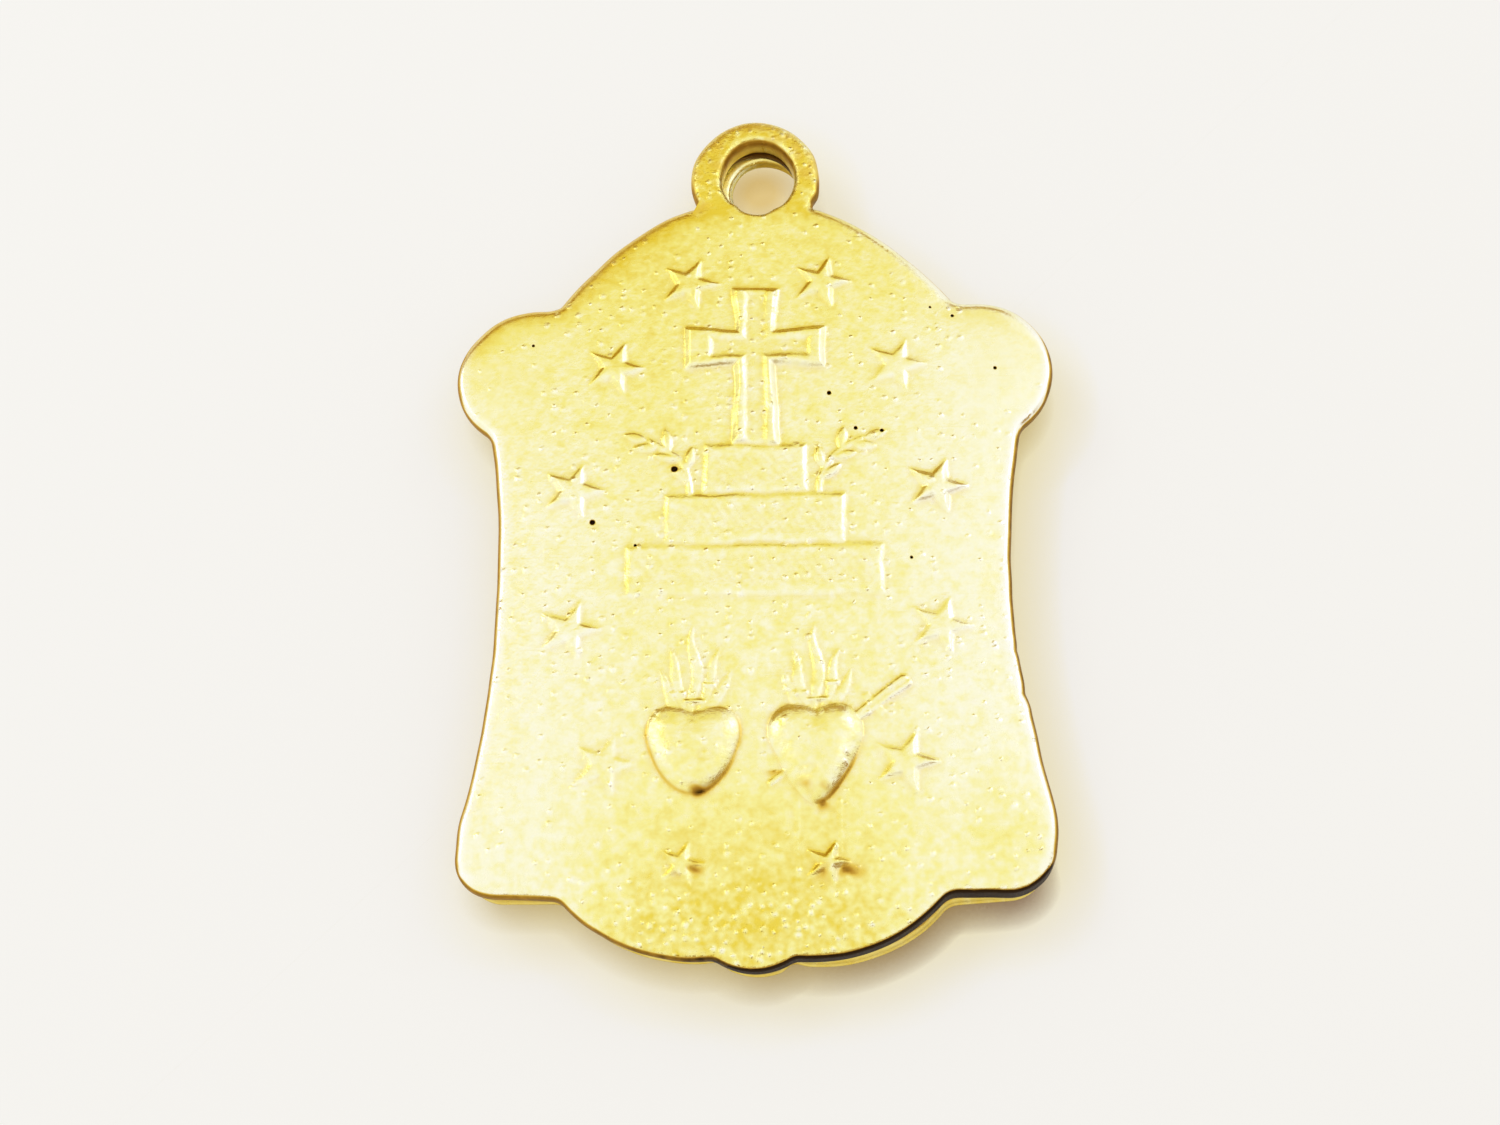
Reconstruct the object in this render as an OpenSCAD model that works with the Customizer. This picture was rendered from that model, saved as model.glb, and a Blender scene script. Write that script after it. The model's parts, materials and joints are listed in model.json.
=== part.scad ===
// Shaped devotional medal made of two struck brass layers that are soldered together:
// a back plate with a religious relief, and a hollow front shell with an oval boss.
// It lies face down on the boss. +Y runs along the medal to its ear, +Z out of its back,
// and the origin lies under the middle of the medal, on the surface that it rests on.

/* [Outline] */
// Half width at the waist, where the sides are closest
waist_half = 6.7; // [6.2:0.1:7.1]
// Radius of the hollow curve of each side
waist_r = 28; // [22:1:40]
// Height of the two shoulder lobes above the waist
shoulder_up = 6.55; // [5.5:0.05:8]
// Half width across the shoulder lobes, where the medal is widest
lobe_half = 8.05; // [7.7:0.05:8.6]
// Radius of the shoulder lobes
lobe_r = 2.05; // [1.7:0.05:2.4]
// Radius of the two arcs of the pointed arch
arch_r = 10.4; // [9.6:0.1:12]
// Distance of each arc's centre past the middle
arch_past = 2.9; // [2.4:0.1:3.4]
// Distance of the arcs' centres below the shoulder lobes
arch_low = 4; // [3.4:0.1:4.6]
// Drop of the foot line below the waist
foot_down = 8.35; // [7.6:0.05:10]
// Half width across the lower corners
foot_half = 7.45; // [7.2:0.05:8]
// Radius of the lower corners
corner_r = 1.15; // [0.8:0.05:1.6]
// Drop of the rounded apron below the foot line
apron_down = 1.55; // [1:0.05:2.2]
// Radius of the apron's two ends
apron_r = 4.4; // [3.8:0.1:5]
// Distance of the apron's two ends from the middle
apron_x = 1.5; // [1:0.1:2]
// Drop of the small tip below the apron
tip_down = 0.3; // [0.1:0.05:0.6]
// Radius of the small tip
tip_r = 1.7; // [1.3:0.1:2.2]

/* [Ear] */
// Outer radius of the ear
ear_r = 1.82; // [1.6:0.02:2.2]
// Height of the ear's centre above the point of the arch
ear_up = 0.5; // [0.2:0.05:0.9]
// Radius of the bore through the ear, where a ring goes
bore_r = 1.08; // [0.8:0.02:1.2]
// Thickness of the front shell's ear
ear_t = 0.35; // [0.25:0.05:0.5]

/* [Layers] */
// Thickness of the back plate without its relief
plate_t = 0.7; // [0.5:0.05:1]
// Thickness of the solder between the layers
seam_t = 0.1; // [0.06:0.02:0.2]
// Distance of the solder back from the front shell's rim
seam_in = 0.05; // [0.02:0.01:0.15]
// Width of the solder band
seam_w = 0.65; // [0.5:0.05:0.8]
// Distance of the solder from the bore through the ear
seam_bore_gap = 0.06; // [0.02:0.02:0.12]
// Thickness of the front shell at its rim
rim_t = 0.6; // [0.55:0.05:0.8]
// Distance of the front shell's rim back from the edge of the back plate
set_back = 0.25; // [0.1:0.05:0.35]
// Thickness of the front shell's sheet
sheet_t = 0.35; // [0.25:0.05:0.4]

/* [Relief of the back] */
// Height of the flat relief above the back
relief_h = 0.16; // [0.08:0.02:0.3]
// Height of the swelling hearts above the back
heart_h = 0.3; // [0.2:0.02:0.4]
// Half width of the ring of stars
ring_half_w = 4.95; // [4.6:0.05:5.2]
// Half height of the ring of stars
ring_half_h = 9.1; // [8.6:0.1:9.4]
// Height of the ring's middle above the waist
ring_up = 0.95; // [0.6:0.05:1.2]
// Number of tips of a star
star_tips = 5; // [5:1:8]
// Radius of a star at its tips
star_r = 0.74; // [0.5:0.02:0.85]
// Radius of a star between its tips
star_in = 0.33; // [0.2:0.01:0.4]
// Height of the cross's arms above the waist
cross_up = 7.35; // [7:0.05:7.8]
// Length of each arm and of the head of the cross
cross_arm = 1.85; // [1.4:0.05:2]
// Width of the cross where its arms meet
cross_w = 1; // [0.6:0.05:1.1]
// Width of the cross at the ends of its arms
cross_end = 1.2; // [0.8:0.05:1.3]
// Height above the waist of the steps that the cross stands on
steps_up = 4.35; // [4:0.05:4.7]
// Height of one step
step_h = 1.5; // [1.2:0.05:1.6]
// Width of the top step
step_w = 2.8; // [2.2:0.1:3.2]
// Growth in width from each step to the next
step_grow = 2; // [1.4:0.1:2.2]
// Number of steps
step_count = 3; // [2:1:3]
// Gap from the top step to the foot of the sprig beside it
sprig_gap = 0.3; // [0.1:0.05:0.5]
// Radius of the curve of a sprig's stem
sprig_r = 1.7; // [1.4:0.05:2]
// Width of a sprig's stem
stem_w = 0.14; // [0.1:0.02:0.2]
// Length of a leaf of a sprig
leaf_len = 0.75; // [0.5:0.05:0.9]
// Width of a leaf
leaf_w = 0.3; // [0.2:0.02:0.4]
// Number of leaves on a sprig
leaf_count = 6; // [4:1:8]
// Distance of each heart from the middle
heart_x = 1.56; // [1.4:0.02:1.8]
// Drop of the hearts' round tops below the waist
heart_down = 3.9; // [3.5:0.05:4.3]
// Width of a heart
heart_w = 2.4; // [2:0.05:2.7]
// Radius of a heart's round tops
heart_r = 0.66; // [0.5:0.02:0.75]
// Distance of a heart's point below its round tops
heart_tip = 1.9; // [1.5:0.05:2.2]
// Height of the middle flame of a heart
flame_h = 3; // [2.4:0.05:3.4]
// Height of the two flames beside it
side_flame_h = 2.4; // [1.8:0.05:2.8]
// Width of a flame
flame_w = 0.42; // [0.3:0.02:0.6]
// Lean of the two flames beside the middle one, in degrees
flame_lean = 17; // [12:1:28]
// Length of the sword behind the right-hand heart
sword_len = 4.4; // [4:0.1:5]
// Width of the sword's blade
sword_w = 0.24; // [0.16:0.02:0.32]
// Width of the sword's guard
guard_w = 0.7; // [0.5:0.02:1.1]
// Lean of the sword from upright, in degrees
sword_lean = 51; // [46:1:60]
// Distance of the sword's middle to the right of the heart's middle
sword_right = 0.56; // [0.3:0.02:0.7]
// Distance of the sword's middle below the heart's round tops
sword_drop = 0.12; // [0:0.02:0.3]

/* [Relief of the front] */
// Width of the rim round the front
rim_w = 0.45; // [0.3:0.05:0.55]
// Depth of the front field below its rim
field_deep = 0.1; // [0.06:0.01:0.14]
// Drop of the oval boss below the rim
boss_down = 0.45; // [0.3:0.05:0.8]
// Half width of the oval boss
boss_half_w = 4.4; // [3.8:0.1:4.8]
// Half height of the oval boss
boss_half_h = 6.1; // [5.4:0.1:6.4]
// Width of the frame round the oval boss
frame_w = 0.55; // [0.4:0.05:0.7]
// Depth of the boss's face below its frame
face_deep = 0.16; // [0.12:0.02:0.24]
// Height of the rays and the front cross above the boss's face
ray_h = 0.08; // [0.04:0.02:0.1]
// Number of rays
ray_count = 24; // [16:4:32]
// Length of the rays, from the middle of the boss
ray_len = 3.3; // [2.6:0.1:3.5]
// Radius of the round heart of the rays
ray_in = 2; // [1.4:0.1:2.4]
// Length of the front cross's foot
front_cross_len = 4.6; // [3.6:0.1:5]
// Width of the front cross
front_cross_w = 0.5; // [0.3:0.05:0.8]
// Radius of the studs on the lobes and corners of the front
stud_r = 0.62; // [0.4:0.02:0.7]
// Number of flutes of the shell on the apron
flute_count = 7; // [5:2:9]
// Length of a flute of the shell
flute_len = 1.9; // [1.5:0.05:2.1]
// Width of a flute of the shell
flute_w = 0.42; // [0.3:0.02:0.5]
// Angle between the outermost flutes of the shell, in degrees
flute_spread = 110; // [90:5:140]

/* [Hidden] */
$fn = 64;

gold = [0.93, 0.84, 0.46];
solder_grey = [0.62, 0.56, 0.38];

// Places along and across the medal, counted from the waist
lobe_x = lobe_half - lobe_r;
lobe_y = shoulder_up;
arch_y = lobe_y - arch_low;
arch_top = arch_y + sqrt(arch_r * arch_r - arch_past * arch_past);
ear_y = arch_top + ear_up;
foot_y = -foot_down;
apron_y = foot_y - apron_down;
tip_y = apron_y - tip_down;
middle_y = (ear_y + ear_r + tip_y) / 2;

// Levels above the surface that the medal rests on
rim_z = boss_down;
flange_z = rim_z + rim_t;
plate_z = flange_z + seam_t;
back_z = plate_z + plate_t;
field_z = rim_z + field_deep;
face_z = face_deep;

// Insets from the edge of the back plate: of the field inside the front rim, of the solder,
// and of the hollow behind the front sheet, whose edge is the inner edge of the solder
field_in = set_back + rim_w;
seam_edge = set_back + seam_in;
pocket_in = seam_edge + seam_w;
// How deep a raised figure is rooted in what carries it, so that the two are one piece
root = 0.1;
// How far a cutting shape runs past the faces that it opens
past = 1;
// Smallest radius that a rounded corner keeps when it is moved inwards
sharp_r = 0.02;
// Angles of the stars of a quarter of their ring, from the medal's long axis
star_angles = [21.5, 50.5, 77];
// Turn of a sprig's stem from its foot to its tip, and lean of its leaves
sprig_turn = 72;
leaf_lean = 36;
// Sides of an oval, and facets of the widest arcs
oval_sides = 72;
wide_arc = 180;

// Everything is drawn from the waist and then centred on the medal's length
module centred(z = 0) translate([0, -middle_y, z]) children();

module pair_x(x) for (side = [-1, 1]) translate([side * x, 0]) children();

// The medal's outline, moved inwards by inset
module outline(inset = 0) {
    translate([0, ear_y]) circle(ear_r - inset);
    pair_x(lobe_x) translate([0, lobe_y]) circle(lobe_r - inset);
    arch(inset);
    torso(inset);
    apron(inset);
    translate([0, tip_y + tip_r]) circle(tip_r - inset);
}

// Pointed arch over the shoulders
module arch(inset) intersection() {
    translate([-arch_past, arch_y]) circle(arch_r - inset, $fn = wide_arc);
    translate([arch_past, arch_y]) circle(arch_r - inset, $fn = wide_arc);
    translate([-arch_r, lobe_y]) square([2 * arch_r, arch_r]);
}

// Body between the shoulders and the foot line, with hollow sides and round lower corners
module torso(inset) {
    r = max(corner_r - inset, sharp_r);
    half = foot_half - inset;
    low = foot_y + inset;
    difference() {
        translate([-half, low + r]) square([2 * half, lobe_y - low - r]);
        pair_x(waist_half + waist_r) circle(waist_r + inset, $fn = wide_arc);
    }
    pair_x(half - r) translate([0, low + r]) circle(r);
    translate([r - half, low]) square([2 * (half - r), r]);
}

// Rounded apron under the foot line
module apron(inset) {
    pair_x(apron_x) translate([0, apron_y + apron_r]) circle(apron_r - inset);
    translate([-apron_x, apron_y + inset]) square([2 * apron_x, apron_r - inset]);
}

module ear_hole(r) translate([0, ear_y]) circle(r);

function star_points(tips, outer, inner) = [
    for (i = [0 : 2 * tips - 1])
        let (r = i % 2 == 0 ? outer : inner, a = i * 180 / tips)
            [r * cos(a), r * sin(a)]
];

function oval_points(half_w, half_h) = [
    for (i = [0 : oval_sides - 1])
        let (a = i * 360 / oval_sides)
            [half_w * cos(a), half_h * sin(a)]
];

// Pointed leaf, flame or flute of length len along +Y from the origin, made of two arcs
module lens(len, w) {
    r = (len * len + w * w) / (4 * w);
    translate([0, len / 2]) intersection() {
        translate([r - w / 2, 0]) circle(r, $fn = wide_arc);
        translate([w / 2 - r, 0]) circle(r, $fn = wide_arc);
    }
}

// Raised figure on the back, of the given height
module raised(height) centred(back_z - root) linear_extrude(root + height) children();

module stars() for (a = star_angles, x = [-1, 1], y = [-1, 1])
    translate([x * ring_half_w * sin(a), ring_up + y * ring_half_h * cos(a)])
        polygon(star_points(star_tips, star_r, star_in));

// Arm of the cross along +Y, wider at its end
module cross_limb(len) polygon([
    [-cross_w / 2, 0], [cross_w / 2, 0], [cross_end / 2, len], [-cross_end / 2, len]
]);

// Cross with flared arms, its foot on the top step
module cross() translate([0, cross_up]) {
    for (turn = [0, 90, -90]) rotate(turn) cross_limb(cross_arm);
    rotate(180) cross_limb(cross_up - steps_up);
    square(cross_w, center = true);
}

module steps() for (i = [0 : step_count - 1]) {
    w = step_w + i * step_grow;
    translate([-w / 2, steps_up - (i + 1) * step_h]) square([w, step_h]);
}

// Leafy sprig that curves up and outwards from the second step, beside the top one
module sprig() translate([step_w / 2 + sprig_gap + sprig_r, steps_up - step_h]) {
    intersection() {
        difference() {
            circle(sprig_r + stem_w / 2);
            circle(sprig_r - stem_w / 2);
        }
        translate([-2 * sprig_r, 0]) square([sprig_r * (2 - cos(sprig_turn)), 2 * sprig_r]);
    }
    for (i = [1 : leaf_count]) {
        a = sprig_turn * i / leaf_count;
        lean = i == leaf_count ? 0 : i % 2 == 0 ? leaf_lean : -leaf_lean;
        translate(sprig_r * [-cos(a), sin(a)]) rotate(lean - a) lens(leaf_len, leaf_w);
    }
}

// Outline of a heart; the line between its two round tops runs through the origin
module heart() {
    c = heart_w / 2 - heart_r;
    reach = sqrt(c * c + heart_tip * heart_tip);
    turn = atan2(-heart_tip, -c) + acos(heart_r / reach);
    side = heart_r * [cos(turn), sin(turn)];
    pair_x(c) circle(heart_r);
    polygon([[0, -heart_tip], [c + side[0], side[1]], [c, 0], [-c, 0], [-c - side[0], side[1]]]);
}

// Flames that rise out of the dip between a heart's tops
module flames() {
    lens(flame_h, flame_w);
    for (side = [-1, 1]) rotate(side * flame_lean) lens(side_flame_h, flame_w);
}

// Sword that runs behind a heart, from its hilt at the upper right to its point
module sword() translate([sword_right, -sword_drop]) rotate(-sword_lean) {
    translate([-sword_w / 2, -sword_len / 2]) square([sword_w, sword_len]);
    translate([-guard_w / 2, sword_len / 2 - guard_w]) square([guard_w, sword_w]);
    translate([0, sword_len / 2]) circle(sword_w);
}

module at_hearts() pair_x(heart_x) translate([0, -heart_down]) children();

// Back plate: struck sheet with its ear and all the relief of the back
module back_plate() color(gold) difference() {
    union() {
        centred(plate_z) linear_extrude(plate_t) outline();
        raised(relief_h) {
            stars();
            cross();
            steps();
            sprig();
            mirror([1, 0]) sprig();
            at_hearts() flames();
            translate([heart_x, -heart_down]) sword();
        }
        raised(heart_h) at_hearts() heart();
    }
    centred(plate_z - past) linear_extrude(plate_t + 2 * past) ear_hole(bore_r);
}

// Solder band between the two layers, all round the edge and over the ear
module solder_seam() color(solder_grey) centred(flange_z) linear_extrude(seam_t) difference() {
    outline(seam_edge);
    outline(pocket_in);
    ear_hole(bore_r + seam_bore_gap);
}

// Figure on the front that stands out to the level z from what lies at the level from_z
module sunk(z, from_z) centred(z) linear_extrude(from_z + root - z) children();

// Rim, and the field and flange behind it
module shell_rim() {
    centred(rim_z) linear_extrude(rim_t) difference() {
        outline(set_back);
        outline(field_in);
    }
    centred(field_z) linear_extrude(flange_z - field_z) outline(field_in - root);
}

// Oval boss with its frame, rays and a plain cross
module shell_boss() {
    sunk(face_z, field_z) polygon(oval_points(boss_half_w, boss_half_h));
    sunk(0, face_z) difference() {
        polygon(oval_points(boss_half_w, boss_half_h));
        polygon(oval_points(boss_half_w - frame_w, boss_half_h - frame_w));
    }
    sunk(face_z - ray_h, face_z) {
        polygon(star_points(ray_count, ray_len, ray_in));
        front_cross();
    }
}

module front_cross() for (turn = [0 : 90 : 270]) rotate(turn)
    translate([-front_cross_w / 2, 0])
        square([front_cross_w, turn == 180 ? front_cross_len : ray_len]);

// Round studs on the shoulder lobes and the lower corners
module shell_studs() sunk(rim_z, field_z) {
    corner = corner_r + field_in;
    pair_x(lobe_x) translate([0, lobe_y]) circle(stud_r);
    pair_x(foot_half - corner) translate([0, foot_y + corner]) circle(stud_r);
}

// Fluted shell on the apron, spread from a point over the tip
module shell_flutes() sunk(rim_z, field_z) translate([0, apron_y + field_in])
    for (i = [0 : flute_count - 1])
        rotate(flute_spread * (i / (flute_count - 1) - 0.5)) lens(flute_len, flute_w);

// Hollow behind the front sheet, deeper behind the boss
module shell_hollow() {
    centred(field_z + sheet_t) linear_extrude(flange_z + past) difference() {
        outline(pocket_in);
        translate([0, ear_y]) circle(ear_r);
    }
    centred(face_z + sheet_t) linear_extrude(flange_z + past)
        polygon(oval_points(boss_half_w - sheet_t, boss_half_h - sheet_t));
}

// Cut that thins the front of the ear, above the arch
module ear_thinning() centred(-past) linear_extrude(flange_z - ear_t + past) difference() {
    translate([0, ear_y]) circle(ear_r + root);
    translate([-arch_r, arch_top - arch_r]) square([2 * arch_r, arch_r]);
}

// Front shell: struck sheet, hollow behind, with a rim, an oval boss and its own ear
module front_shell() color(gold) difference() {
    union() {
        shell_rim();
        shell_boss();
        shell_studs();
        shell_flutes();
    }
    shell_hollow();
    ear_thinning();
    centred(-past) linear_extrude(flange_z + 2 * past) ear_hole(bore_r);
}

back_plate();
solder_seam();
front_shell();
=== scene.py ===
"""Looks of a small gilt devotional medal that lies face down on a pale table.

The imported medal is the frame: a back plate, a band of solder and a hollow front shell. The two
struck layers are modelled again here as dense plates with soft relief, rounded edges, casting
grain and wear. The solder keeps its own solid. Shapes are worked out in millimetres, with the
waist of the medal at height 0, and are moved into the frame, in metres, when a mesh is made.
"""

from __future__ import annotations

import json
import logging
import math
from dataclasses import dataclass, field
from enum import Enum
from typing import Callable, Iterable, Sequence

import bpy
import numpy as np
from mathutils import Matrix, Vector
from mathutils.geometry import delaunay_2d_cdt
from mathutils.kdtree import KDTree

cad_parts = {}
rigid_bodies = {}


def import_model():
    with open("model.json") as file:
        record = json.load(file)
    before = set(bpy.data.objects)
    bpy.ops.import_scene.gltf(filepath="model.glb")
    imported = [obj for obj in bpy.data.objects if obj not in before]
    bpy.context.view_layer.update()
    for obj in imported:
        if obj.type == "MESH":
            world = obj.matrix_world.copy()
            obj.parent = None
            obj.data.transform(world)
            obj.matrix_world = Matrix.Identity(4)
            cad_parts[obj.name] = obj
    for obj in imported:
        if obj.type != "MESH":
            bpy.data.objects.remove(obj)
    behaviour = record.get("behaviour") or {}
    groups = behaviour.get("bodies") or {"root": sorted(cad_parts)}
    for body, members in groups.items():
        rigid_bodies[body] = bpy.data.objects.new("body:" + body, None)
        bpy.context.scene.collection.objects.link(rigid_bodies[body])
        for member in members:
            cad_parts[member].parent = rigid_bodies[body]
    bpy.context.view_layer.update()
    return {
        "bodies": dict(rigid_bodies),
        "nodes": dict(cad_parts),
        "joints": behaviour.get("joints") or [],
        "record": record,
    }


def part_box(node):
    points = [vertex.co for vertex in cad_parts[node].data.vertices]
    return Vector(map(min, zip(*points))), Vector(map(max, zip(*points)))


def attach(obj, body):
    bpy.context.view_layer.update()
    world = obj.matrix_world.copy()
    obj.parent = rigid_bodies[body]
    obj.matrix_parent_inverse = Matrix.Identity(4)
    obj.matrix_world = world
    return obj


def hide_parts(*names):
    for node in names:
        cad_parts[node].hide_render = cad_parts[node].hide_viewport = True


LOG = logging.getLogger("medal")
MM = 0.001
BODY = "root"

Array = np.ndarray
Colour = tuple[float, float, float]
Point = tuple[float, float]
Figure = Callable[[Array, Array], Array]


# Shape helpers, in millimetres


def smooth(t: Array) -> Array:
    """Eases 0 to 1 with level ends."""
    t = np.clip(t, 0.0, 1.0)
    return t * t * (3.0 - 2.0 * t)


def bell(gap: Array, width: float) -> Array:
    """Bell curve that is 1 at a gap of 0."""
    return np.exp(-((gap / width) ** 2))


def plateau(gap: Array, height: float, slope: float) -> Array:
    """Flat-topped relief with soft sides.

    Args:
        gap: Signed distance from the figure's edge, negative inside it.
        height: Height of the top.
        slope: Width of the sloping side.

    Returns:
        Heights above the field.
    """
    return height * smooth(0.5 - gap / slope)


def dome(gap: Array, height: float, reach: float, power: float = 0.5) -> Array:
    """Swelling relief that rounds over within reach of the figure's edge.

    Args:
        gap: Signed distance from the figure's edge, negative inside it.
        height: Height of the crown.
        reach: Distance from the edge at which the crown is level.
        power: Shape of the edge, 0.5 for a round one and 1 for a soft one.

    Returns:
        Heights above the field.
    """
    t = np.clip(-gap / reach, 0.0, 1.0)
    return height * (t * (2.0 - t)) ** power


def soft_min(a: Array, b: Array, blend: float) -> Array:
    """Smaller of two distances, with a soft change from one to the other."""
    h = np.clip(0.5 + 0.5 * (b - a) / blend, 0.0, 1.0)
    return b + (a - b) * h - blend * h * (1.0 - h)


def box_gap(x: Array, y: Array, half_w: float, half_h: float) -> Array:
    """Signed distance from a rectangle round the origin."""
    dx, dy = np.abs(x) - half_w, np.abs(y) - half_h
    outside = np.hypot(np.maximum(dx, 0.0), np.maximum(dy, 0.0))
    return outside + np.minimum(np.maximum(dx, dy), 0.0)


def oval_gap(x: Array, y: Array, half_w: Array | float, half_h: Array | float) -> Array:
    """About the signed distance from an oval round the origin."""
    f = np.hypot(x / half_w, y / half_h)
    slope = np.maximum(np.hypot(x / half_w**2, y / half_h**2), 1e-6)
    return (f - 1.0) * f / slope


def bar_gap(x: Array, y: Array, start: Point, end: Point, wide_start: float, wide_end: float) -> Array:
    """Signed distance from a tapered bar with round ends.

    Args:
        x: Points' x.
        y: Points' y.
        start: One end of the bar's middle line.
        end: Its other end.
        wide_start: Half width at the start.
        wide_end: Half width at the end.

    Returns:
        Distances, negative inside the bar.
    """
    ax, ay = end[0] - start[0], end[1] - start[1]
    px, py = x - start[0], y - start[1]
    t = np.clip((px * ax + py * ay) / (ax * ax + ay * ay), 0.0, 1.0)
    return np.hypot(px - t * ax, py - t * ay) - (wide_start + t * (wide_end - wide_start))


def polygon_gap(x: Array, y: Array, corners: Sequence[Point]) -> Array:
    """Signed distance from a polygon, negative inside it."""
    nearest = np.full_like(x, np.inf)
    inside = np.zeros(x.shape, bool)
    for (ax, ay), (bx, by) in zip(corners, [*corners[1:], corners[0]]):
        ex, ey = bx - ax, by - ay
        px, py = x - ax, y - ay
        t = np.clip((px * ex + py * ey) / (ex * ex + ey * ey), 0.0, 1.0)
        nearest = np.minimum(nearest, np.hypot(px - t * ex, py - t * ey))
        crosses = (ay > y) != (by > y)
        with np.errstate(divide="ignore", invalid="ignore"):
            inside ^= crosses & (px < (y - ay) * ex / ey)
    return np.where(inside, -nearest, nearest)


def lens_gap(x: Array, y: Array, length: float, width: float) -> Array:
    """Signed distance from a pointed leaf that stands on the origin along +y."""
    r = (length * length + width * width) / (4.0 * width)
    off = r - width / 2.0
    return np.hypot(np.abs(x) + off, y - length / 2.0) - r


def turned(x: Array, y: Array, centre: Point, degrees: float) -> tuple[Array, Array]:
    """Points in the axes of a figure that stands at a centre and is turned to the left."""
    a = math.radians(degrees)
    px, py = x - centre[0], y - centre[1]
    return px * math.cos(a) + py * math.sin(a), py * math.cos(a) - px * math.sin(a)


def near_box(x: Array, y: Array, centre: Point, reach: float) -> Array:
    """Which points lie within reach of a centre, along both axes."""
    return np.flatnonzero((np.abs(x - centre[0]) < reach) & (np.abs(y - centre[1]) < reach))


class Ripple:
    """Smooth random surface over the plane, the same on every run."""

    CELLS = 128

    def __init__(self, seed: int) -> None:
        """Draws the heights of the cells' corners."""
        draw = np.random.default_rng(seed)
        self._corners = draw.uniform(-1.0, 1.0, (self.CELLS, self.CELLS))
        self._turn = draw.uniform(0.3, 1.2)

    def at(self, x: Array, y: Array, length: float) -> Array:
        """Heights from -1 to 1, for bumps about that long."""
        c, s = math.cos(self._turn) / length, math.sin(self._turn) / length
        u, v = x * c + y * s, y * c - x * s
        i, j = np.floor(u).astype(int), np.floor(v).astype(int)
        fu, fv = smooth(u - i), smooth(v - j)
        i0, i1, j0, j1 = i % self.CELLS, (i + 1) % self.CELLS, j % self.CELLS, (j + 1) % self.CELLS
        near = self._corners[i0, j0] * (1 - fu) + self._corners[i1, j0] * fu
        far = self._corners[i0, j1] * (1 - fu) + self._corners[i1, j1] * fu
        return near * (1 - fv) + far * fv


# The medal's outline


@dataclass(frozen=True)
class Arc:
    """A circle along the outline. The metal lies inside it, or outside it where side is -1."""

    x: float
    y: float
    r: float
    side: int = 1

    def touch(self, centre: Array) -> Array:
        """Where a circle about centre that touches this one meets it."""
        way = centre - (self.x, self.y)
        return np.array((self.x, self.y)) + way * (self.r / np.linalg.norm(way))


@dataclass(frozen=True)
class Join:
    """Small arc between two arcs: its radius, negative on an outer corner, and about where it is."""

    r: float
    near: Point


def joining_centre(a: Arc, b: Arc, join: Join) -> Array:
    """Centre of the small arc that touches two arcs of the outline."""
    ra, rb = a.r + a.side * join.r, b.r + b.side * join.r
    start, way = np.array((a.x, a.y)), np.array((b.x - a.x, b.y - a.y))
    d = np.linalg.norm(way)
    along = (ra * ra - rb * rb + d * d) / (2.0 * d)
    across = math.sqrt(max(ra * ra - along * along, 0.0))
    u = way / d
    middle, side = start + u * along, np.array((-u[1], u[0])) * across
    return min((middle + side, middle - side), key=lambda p: np.hypot(*(p - join.near)))


def arc_points(centre: Array, r: float, start: Array, end: Array, clockwise: bool, step: float) -> Array:
    """Points along an arc from start up to, but without, end."""
    a0 = math.atan2(*(start - centre)[::-1])
    sweep = math.atan2(*(end - centre)[::-1]) - a0
    sweep = -((-sweep) % math.tau) if clockwise else sweep % math.tau
    count = max(1, math.ceil(abs(sweep) * r / step))
    a = a0 + sweep * np.arange(count) / count
    return centre + r * np.stack((np.cos(a), np.sin(a)), 1)


def outward(points: Array) -> Array:
    """Unit normals of a closed edge that has the metal on its left; they point away from the metal."""
    way = np.roll(points, -1, 0) - np.roll(points, 1, 0)
    way /= np.linalg.norm(way, axis=1)[:, None]
    return np.stack((way[:, 1], -way[:, 0]), 1)


class Rim:
    """Closed edge of a plate, with the metal on its left, rounded towards both faces."""

    SPAN = 4

    def __init__(self, points: Array, top_r: Array | float, bottom_r: Array | float) -> None:
        """Takes the edge's points and the radii of its rounding, for all points or for each."""
        self.points = points
        raw = outward(points)
        mean = sum(np.roll(raw, k, 0) for k in range(-self.SPAN, self.SPAN + 1))
        self.normals = mean / np.linalg.norm(mean, axis=1)[:, None]
        self._top_r = np.broadcast_to(top_r, len(points))
        self._bottom_r = np.broadcast_to(bottom_r, len(points))
        self._tree = KDTree(len(points))
        for k, (x, y) in enumerate(points):
            self._tree.insert((x, y, 0.0), k)
        self._tree.balance()

    def radius(self, top: bool) -> Array:
        """Rounding of each point towards the top or the bottom face."""
        return self._top_r if top else self._bottom_r

    def inset(self, distance: Array) -> Array:
        """The edge's points, each moved into the metal."""
        return self.points - self.normals * distance[:, None]

    def reach(self, points: Array) -> tuple[Array, Array]:
        """Distances from the edge, positive on the metal, and the numbers of its nearest points."""
        best = np.array([self._tree.find((x, y, 0.0))[1] for x, y in points])
        gap = points - self.points[best]
        return np.copysign(np.hypot(*gap.T), -(gap * self.normals[best]).sum(1)), best


@dataclass(frozen=True)
class Dent:
    """A nick in the edge, or a burr or a fuller stretch where depth is negative."""

    at: Point
    depth: float
    width: float


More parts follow.
